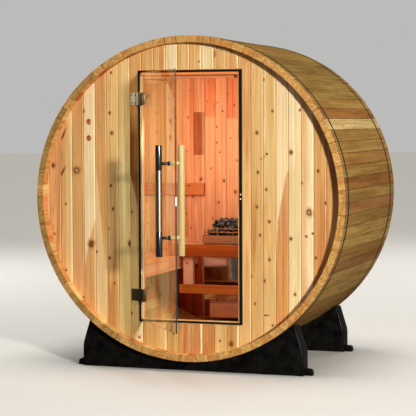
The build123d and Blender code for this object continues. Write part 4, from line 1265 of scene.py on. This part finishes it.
# ------------------------------------------------------------------ cradles
tipx = sqrt(R_OUT ** 2 - (AZ - 0.275) ** 2)
for nm, y0 in (("front_cradle", FRONT + 0.060), ("rear_cradle", FRONT + 1.000)):
    s = Solid()
    front = nm == "front_cradle"
    arc = []
    n = 40
    a0 = atan2(0.275 - AZ, -tipx)
    a1 = atan2(0.275 - AZ, tipx)
    for i in range(n + 1):
        t = a0 + (a1 - a0) * i / n
        arc.append((t, R_OUT))

    def slice_at(y, r, cut=0.0):
        pts = []
        tx = sqrt(r * r - (AZ - 0.275 + cut) ** 2)
        b0, b1 = atan2(0.275 - cut - AZ, -tx), atan2(0.275 - cut - AZ, tx)
        for i in range(n + 1):
            t = b0 + (b1 - b0) * i / n
            pts.append(Vector((r * cos(t), y, AZ + r * sin(t))))
        k = cut
        # rounded knee on each side
        def side(sg):
            path = [Vector((sg * (0.615 - k * 0.2), 0.275 - k)), Vector((sg * (0.660 - k), 0.130)), Vector((sg * (0.660 - k), k))]
            d0 = (path[0] - path[1]).normalized()
            d1 = (path[2] - path[1]).normalized()
            out = [path[0]]
            q = 0.022
            pa, pb = path[1] + d0 * q, path[1] + d1 * q
            for i in range(6):
                t = i / 5
                out.append(pa * (1 - t) ** 2 + path[1] * 2 * t * (1 - t) + pb * t * t)
            out.append(path[2])
            return out
        for p in side(1):
            pts.append(Vector((p.x, y, p.y)))
        for p in reversed(side(-1)):
            pts.append(Vector((p.x, y, p.y)))
        return pts

    e = 0.009
    sl = [(y, r, c) for y, r, c in sorted([(y0 + e * (1 - cos(radians(a))), R_OUT + (0.0022 if front else 0.0), e * (1 - sin(radians(a)))) for a in (0, 15, 30, 45, 60, 75, 90)])]
    if front:
        sl += [(y0 + 0.024, R_OUT + 0.0022, 0.0), (y0 + 0.0241, R_OUT + 0.0001, 0.0)]
    sl += [(y0 + 0.110 - e * (1 - cos(radians(a))), R_OUT + 0.0001, e * (1 - sin(radians(a)))) for a in (90, 75, 60, 45, 30, 15, 0)]
    if not front:
        sl = [(y, R_OUT + 0.0001, c) for y, r, c in sl]
    rows = [[s.bm.verts.new(p) for p in slice_at(y, r, c)] for y, r, c in sl]
    for r0, r1 in zip(rows, rows[1:]):
        for i in range(len(r0)):
            j = (i + 1) % len(r0)
            s.bm.faces.new((r0[i], r0[j], r1[j], r1[i]))
    s.bm.faces.new(rows[0])
    s.bm.faces.new(rows[-1])
    # rounded lugs with an upright anchor hole
    yc = y0 + 0.055
    for sg in (-1, 1):
        hx = sg * 0.680
        m, q = 24, 8
        outer, ring = [], []
        x0, x1 = sg * 0.658, sg * 0.7025
        zt = lambda x: 0.035 if abs(x) < 0.686 else 0.018 + sqrt(max(0.0, 0.017 ** 2 - (abs(x) - 0.686) ** 2))
        path = [x0 / sg]
        steps_x = [0.658, 0.662, 0.668] + [0.680 - 0.006, 0.680, 0.680 + 0.006, 0.690, 0.695, 0.699, 0.7015, 0.7030]
        # build as an outline seen from the side, extruded across, with the hole cut through
        side = [(0.658, 0.0), (0.658, 0.035), (0.686, 0.035)]
        side += [(0.686 + 0.017 * sin(radians(t)), 0.018 + 0.017 * cos(radians(t))) for t in (15, 30, 45, 60, 75, 90)] + [(0.703, 0.0)]
        part = bmesh.new()
        lo = [part.verts.new(Vector((sg * x, yc - 0.020, z))) for x, z in side]
        hi = [part.verts.new(Vector((sg * x, yc + 0.020, z))) for x, z in side]
        part.faces.new(lo)
        part.faces.new(list(reversed(hi)))
        for i in range(len(side)):
            j = (i + 1) % len(side)
            part.faces.new((lo[i], lo[j], hi[j], hi[i]))
        bmesh.ops.recalc_face_normals(part, faces=part.faces)
        edges = [ed for ed in part.edges if abs(ed.verts[0].co.y - ed.verts[1].co.y) < 1e-6 and min(v.co.z for v in ed.verts) > 0.0005 and min(abs(v.co.x) for v in ed.verts) > 0.6585]
        bmesh.ops.bevel(part, geom=edges, offset=0.003, segments=2, affect="EDGES", profile=0.5, clamp_overlap=True)
        bmesh.ops.remove_doubles(part, verts=part.verts[:], dist=1e-6)
        bmesh.ops.recalc_face_normals(part, faces=part.faces[:])
        me = bpy.data.meshes.new("lug_tmp")
        part.to_mesh(me)
        part.free()
        lug = bpy.data.objects.new("lug_tmp", me)
        bpy.context.scene.collection.objects.link(lug)
        cm = bpy.data.meshes.new("bore_tmp")
        cb = bmesh.new()
        bmesh.ops.create_cone(cb, cap_ends=True, segments=28, radius1=0.006, radius2=0.006, depth=0.08, matrix=Matrix.Translation((hx, yc, 0.02)))
        cb.to_mesh(cm)
        cb.free()
        cut = bpy.data.objects.new("bore_tmp", cm)
        bpy.context.scene.collection.objects.link(cut)
        md = lug.modifiers.new("bore", "BOOLEAN")
        md.operation, md.object, md.solver = "DIFFERENCE", cut, "EXACT"
        dg = bpy.context.evaluated_depsgraph_get()
        done = bpy.data.meshes.new_from_object(lug.evaluated_get(dg))
        s.bm.from_mesh(done)
        for ob in (lug, cut):
            bpy.data.objects.remove(ob, do_unlink=True)
        for me in (me, cm, done):
            bpy.data.meshes.remove(me)
    s.piece("black_" + nm, [M["cradle_black"]], "cabin", "cradle_black", [nm], smooth=32)

# ------------------------------------------------------------------ stove: folded sheet body, rim with its bars, stones
HX = 0.198
HY0, HY1 = FRONT + 0.840, REAR_WALL - 0.030
body = Solid()
bx, by0, by1 = HX - 0.008, HY0 + 0.004, HY1 - 0.004
z0, z1 = AZ - 0.664, AZ - 0.314
body.slot = 0
# outer sheet with a folded front panel between two side posts
body.box(Vector((-bx, by0 + 0.006, z0)), X * (2 * bx), Y * (by1 - by0 - 0.006), Z * (z1 - z0), 0.004, 3)
body.box(Vector((-bx + 0.022, by0, z0 + 0.014)), X * (2 * bx - 0.044), Y * 0.012, Z * (z1 - z0 - 0.028), 0.0035, 3)
lx, ly0, ly1 = HX - 0.040, HY0 + 0.024, HY1 - 0.010
# painted light: the lower box takes the lighter copy of the copper
body.slot = 2
body.box(Vector((-lx, ly0 + 0.004, AZ - 0.775)), X * (2 * lx), Y * (ly1 - ly0 - 0.004), Z * (0.775 - 0.664 + 0.002), 0.003, 3)
body.box(Vector((-lx + 0.008, ly0, AZ - 0.769)), X * (2 * lx - 0.016), Y * 0.008, Z * (0.775 - 0.664 - 0.012), 0.002, 2)
body.slot = 0
for sg in (-1, 1):
    body.box(Vector((sg * 0.100 - 0.020, HY1 - 0.006, AZ - 0.450)), X * 0.040, Y * (REAR_WALL - HY1 + 0.006), Z * 0.060, 0.0015)
body.slot = 1
for i in range(7):
    # air slots low on each side of the body
    zz = AZ - 0.640 + i * 0.014
    for sg in (-1, 1):
        body.box(Vector((sg * bx - 0.0006, by0 + 0.050, zz)), X * 0.0012, Y * (by1 - by0 - 0.10), Z * 0.005, 0.0003, 1)
for x in (-0.135, 0.135):
    for zz in (AZ - 0.757, AZ - 0.682):
        screw(body, Vector((x, ly0, zz)), -Y, 0.0035)
for x in (-bx + 0.011, bx - 0.011):
    for zz in (z0 + 0.03, z1 - 0.03):
        screw(body, Vector((x, by0 + 0.006, zz)), -Y, 0.0035)
body.piece("stove_body", [M["heater_steel"], M["heater_dark"], M["heater_copper"]], "cabin", "heater_steel", ["heater_body"])

rim = Solid()
z0, z1, t = AZ - 0.314, AZ - 0.266, 0.004
rings = []
for (x, ya, yb, z) in ((HX, HY0, HY1, z0), (HX, HY0, HY1, z1 - 0.001), (HX - 0.001, HY0 + 0.001, HY1 - 0.001, z1),
                       (HX - t + 0.001, HY0 + t - 0.001, HY1 - t + 0.001, z1), (HX - t, HY0 + t, HY1 - t, z1 - 0.001), (HX - t, HY0 + t, HY1 - t, z0)):
    rr = 0.010 if x > HX - t / 2 else 0.006
    pts = []
    for cx, cy, a0 in ((x - rr, yb - rr, 0), (-x + rr, yb - rr, 90), (-x + rr, ya + rr, 180), (x - rr, ya + rr, 270)):
        for i in range(5):
            a = radians(a0 + 90 * i / 4)
            pts.append(Vector((cx + rr * cos(a), cy + rr * sin(a), z)))
    rings.append([rim.bm.verts.new(p) for p in pts])
rings.append(rings[0])
for r0, r1 in zip(rings, rings[1:]):
    for i in range(len(r0)):
        j = (i + 1) % len(r0)
        rim.bm.faces.new((r0[i], r0[j], r1[j], r1[i]))
rim.slot = 0


def rod(s, pts, r, segs=10):
    """A bent wire through pts."""
    rows = []
    for i, p in enumerate(pts):
        d = (pts[min(i + 1, len(pts) - 1)] - pts[max(i - 1, 0)]).normalized()
        a = d.orthogonal().normalized() if abs(d.x) < 0.9 else d.cross(Y).normalized()
        a = (Y - d * Y.dot(d)).normalized() if abs(d.y) < 0.9 else (X - d * X.dot(d)).normalized()
        b = d.cross(a)
        rows.append([s.bm.verts.new(p + (a * cos(2 * pi * k / segs) + b * sin(2 * pi * k / segs)) * r) for k in range(segs)])
    for r0, r1 in zip(rows, rows[1:]):
        for i in range(segs):
            j = (i + 1) % segs
            s.bm.faces.new((r0[i], r0[j], r1[j], r1[i]))
    s.bm.faces.new(rows[0])
    s.bm.faces.new(list(reversed(rows[-1])))


# wire guard over the front of the stones, on the rim
for zz in (AZ - 0.246, AZ - 0.224):
    rod(rim, [Vector((-HX + 0.010, HY0 + 0.010, AZ - 0.269)), Vector((-HX + 0.014, HY0 + 0.012, zz - 0.006)), Vector((-HX + 0.022, HY0 + 0.013, zz)),
              Vector((HX - 0.022, HY0 + 0.013, zz)), Vector((HX - 0.014, HY0 + 0.012, zz - 0.006)), Vector((HX - 0.010, HY0 + 0.010, AZ - 0.269))], 0.0024)
for x in (-0.10, 0.0, 0.10):
    rod(rim, [Vector((x, HY0 + 0.010, AZ - 0.270)), Vector((x, HY0 + 0.0125, AZ - 0.2235))], 0.0022)
rim.piece("stove_rim", [M["rim_copper"]], "cabin", "heater_steel", ["heater_rim"])

stones = Solid()
rng = Random(55)


def stone(s, c, r, rng):
    b = bmesh.new()
    bmesh.ops.create_icosphere(b, subdivisions=2, radius=1.0)
    sc = Vector((rng.uniform(0.85, 1.25), rng.uniform(0.8, 1.15), rng.uniform(0.6, 0.9)))
    rot = Matrix.Rotation(rng.uniform(0, 6.28), 3, Vector((rng.uniform(-1, 1), rng.uniform(-1, 1), rng.uniform(-1, 1))).normalized())
    off = Vector((rng.uniform(0, 50), rng.uniform(0, 50), rng.uniform(0, 50)))
    planes = [(Vector((rng.gauss(0, 1), rng.gauss(0, 1), rng.gauss(0, 1))).normalized(), rng.uniform(0.62, 0.86)) for _ in range(7)]
    for v in b.verts:
        p = v.co.copy()
        for n, d in planes:
            q = p.dot(n)
            if q > d:
                p -= n * (q - d) * 0.85
        p *= 1 + 0.12 * noise.noise(p * 2.3 + off)
        p = rot @ Vector((p.x * sc.x, p.y * sc.y, p.z * sc.z))
        v.co = c + p * r
    me = bpy.data.meshes.new("stone_tmp")
    b.to_mesh(me)
    b.free()
    s.bm.from_mesh(me)
    bpy.data.meshes.remove(me)


def top_of(x, y):
    """Height of the heap over the rim's level at x, y."""
    ex = max(0.0, (abs(x) - (HX - 0.080)) / 0.076)
    yc, hy = (HY0 + HY1) / 2, (HY1 - HY0) / 2
    ey = max(0.0, (abs(y - yc) - (hy - 0.060)) / 0.056)
    return AZ - 0.276 + 0.114 * (1 - min(1.0, max(ex, ey)))


for layer in range(7):
    zl = AZ - 0.296 + layer * 0.0234
    y = HY0 + 0.030
    while y < HY1 - 0.02:
        x = -HX + 0.030 + rng.uniform(0, 0.02)
        while x < HX - 0.024:
            r = rng.uniform(0.013, 0.021)
            cx, cy = x + rng.uniform(-0.006, 0.006), y + rng.uniform(-0.008, 0.008)
            lim = top_of(cx, cy)
            if zl + r * 0.6 < lim + 0.006 and abs(cx) + r < HX - 0.004 and HY0 + 0.005 < cy - r and cy + r < HY1 - 0.005:
                if zl + r + 0.03 > lim - 0.02 or layer == 6:
                    stone(stones, Vector((cx, cy, min(zl, lim - r * 0.7) + rng.uniform(-0.004, 0.004))), r, rng)
            x += r * 1.75
        y += 0.030
stones.piece("stove_stones", [M["stone"]], "cabin", "stone", ["heater_stones"], smooth=48)

# ------------------------------------------------------------------ floor, light, camera


def stage_material(name, c):
    m = Nodes(name)
    n = m.noise(m.object(), 0.8, 3.0)
    col = m.mix(n, tuple(v * 0.985 for v in c[:3]) + (1,), c)
    return m.finish(col, 0.85, None, Specular_IOR_Level=0.2)


ground = bpy.data.meshes.new("ground")
b = bmesh.new()
bmesh.ops.create_circle(b, cap_ends=True, segments=96, radius=60.0)
b.to_mesh(ground)
b.free()
ground.materials.append(stage_material("ground_pale", (0.72, 0.716, 0.706, 1)))
go = bpy.data.objects.new("ground", ground)
go.visible_diffuse = False
go.visible_glossy = False
go.visible_transmission = False
bpy.context.scene.collection.objects.link(go)

world = bpy.data.worlds.new("studio")
bpy.context.scene.world = world
world.use_nodes = True
nt = world.node_tree
bg = nt.nodes["Background"]
bg.inputs["Color"].default_value = (1.0, 0.985, 0.955, 1)
bg.inputs["Strength"].default_value = 0.10
# the pale backdrop that the camera sees, also through the glass
back = nt.nodes.new("ShaderNodeBackground")
back.inputs["Color"].default_value = (1.0, 0.995, 0.985, 1)
back.inputs["Strength"].default_value = 0.50
path = nt.nodes.new("ShaderNodeLightPath")
straight = nt.nodes.new("ShaderNodeMath")
straight.operation = "LESS_THAN"
nt.links.new(path.outputs["Glossy Depth"], straight.inputs[0])
straight.inputs[1].default_value = 0.5
through = nt.nodes.new("ShaderNodeMath")
through.operation = "MULTIPLY"
nt.links.new(path.outputs["Is Transmission Ray"], through.inputs[0])
nt.links.new(straight.outputs[0], through.inputs[1])
seen = nt.nodes.new("ShaderNodeMath")
seen.operation = "MAXIMUM"
nt.links.new(path.outputs["Is Camera Ray"], seen.inputs[0])
nt.links.new(through.outputs[0], seen.inputs[1])
both = nt.nodes.new("ShaderNodeMixShader")
nt.links.new(seen.outputs[0], both.inputs[0])
nt.links.new(bg.outputs[0], both.inputs[1])
nt.links.new(back.outputs[0], both.inputs[2])
nt.links.new(both.outputs[0], nt.nodes["World Output"].inputs["Surface"])


def area(name, loc, target, size, energy, color, glossy=False):
    l = bpy.data.lights.new(name, "AREA")
    l.shape = "RECTANGLE"
    l.size, l.size_y = size
    l.energy = energy
    l.color = color
    o = bpy.data.objects.new(name, l)
    o.location = loc
    o.rotation_mode = "QUATERNION"
    o.rotation_quaternion = (Vector(loc) - Vector(target)).to_track_quat("Z", "Y")
    o.visible_camera = False
    o.visible_transmission = False
    o.visible_glossy = glossy
    bpy.context.scene.collection.objects.link(o)


area("key", (7.15, -8.09, 2.82), (0.0, -0.53, AZ), (0.9, 0.8), 1320.0, (1.0, 0.95, 0.87), True)
area("inside", (0.0, 0.12, AZ + 0.30), (-0.05, 0.6, AZ + 0.25), (0.8, 0.8), 3.1, (0.90, 0.90, 0.83))
area("inside_left", (-0.10, -0.36, AZ + 0.45), (-0.62, 0.35, AZ + 0.05), (0.35, 0.35), 4.4, (0.97, 0.90, 0.76))
area("inside_front", (0.05, -0.44, AZ + 0.22), (-0.05, 0.4, AZ - 0.25), (0.4, 0.5), 3.0, (1.0, 0.87, 0.76))
area("back_left", (-6.5, 3.6, 3.2), (0.0, 0.1, AZ), (2.5, 2.5), 190.0, (1.0, 0.985, 0.96))
area("back_right", (2.5, 7.5, 4.2), (0.0, 0.3, AZ), (2.5, 2.5), 150.0, (1.0, 0.985, 0.96))
# tall soft strips that show only as long highlights
for name, loc, size, energy, seen_from in (("panel_front", (3.4, -9.6, 2.2), (7.0, 4.5), 24.0, (0.0, -0.98, AZ)),
                                           ("strip_right", (5.3, -3.4, 1.2), (0.60, 5.0), 33.0, (0.0, -0.98, AZ))):
    area(name, loc, seen_from, size, energy, (1.0, 0.99, 0.97), True)
    bpy.data.objects[name].visible_diffuse = False
sky = bpy.data.lights.new("sky", "SUN")
sky.energy = 1.9
sky.angle = radians(40)
sky.color = (1.0, 0.955, 0.86)
so = bpy.data.objects.new("sky", sky)
so.visible_glossy = False
bpy.context.scene.collection.objects.link(so)

cam = bpy.data.cameras.new("camera")
cam.sensor_fit = "HORIZONTAL"
cam.sensor_width = 36.0
cam.lens = 1529.46 * 36.0 / 416.0
cam.clip_end = 200
co = bpy.data.objects.new("camera", cam)
yaw, pitch, roll = 0.328874, 0.056471, -0.004141
fwd = Vector((-sin(yaw) * cos(pitch), cos(yaw) * cos(pitch), -sin(pitch)))
right = Vector((cos(yaw), sin(yaw), 0))
up = right.cross(fwd)
r2 = right * cos(roll) + up * sin(roll)
u2 = up * cos(roll) - right * sin(roll)
mt = Matrix((r2, u2, -fwd)).transposed().to_4x4()
mt.translation = (2.876, -8.632, 1.410)
co.matrix_world = mt
bpy.context.scene.collection.objects.link(co)
bpy.context.scene.camera = co

sc = bpy.context.scene
sc.view_settings.view_transform = "Standard"
sc.view_settings.look = "None"
sc.view_settings.exposure = 0.0
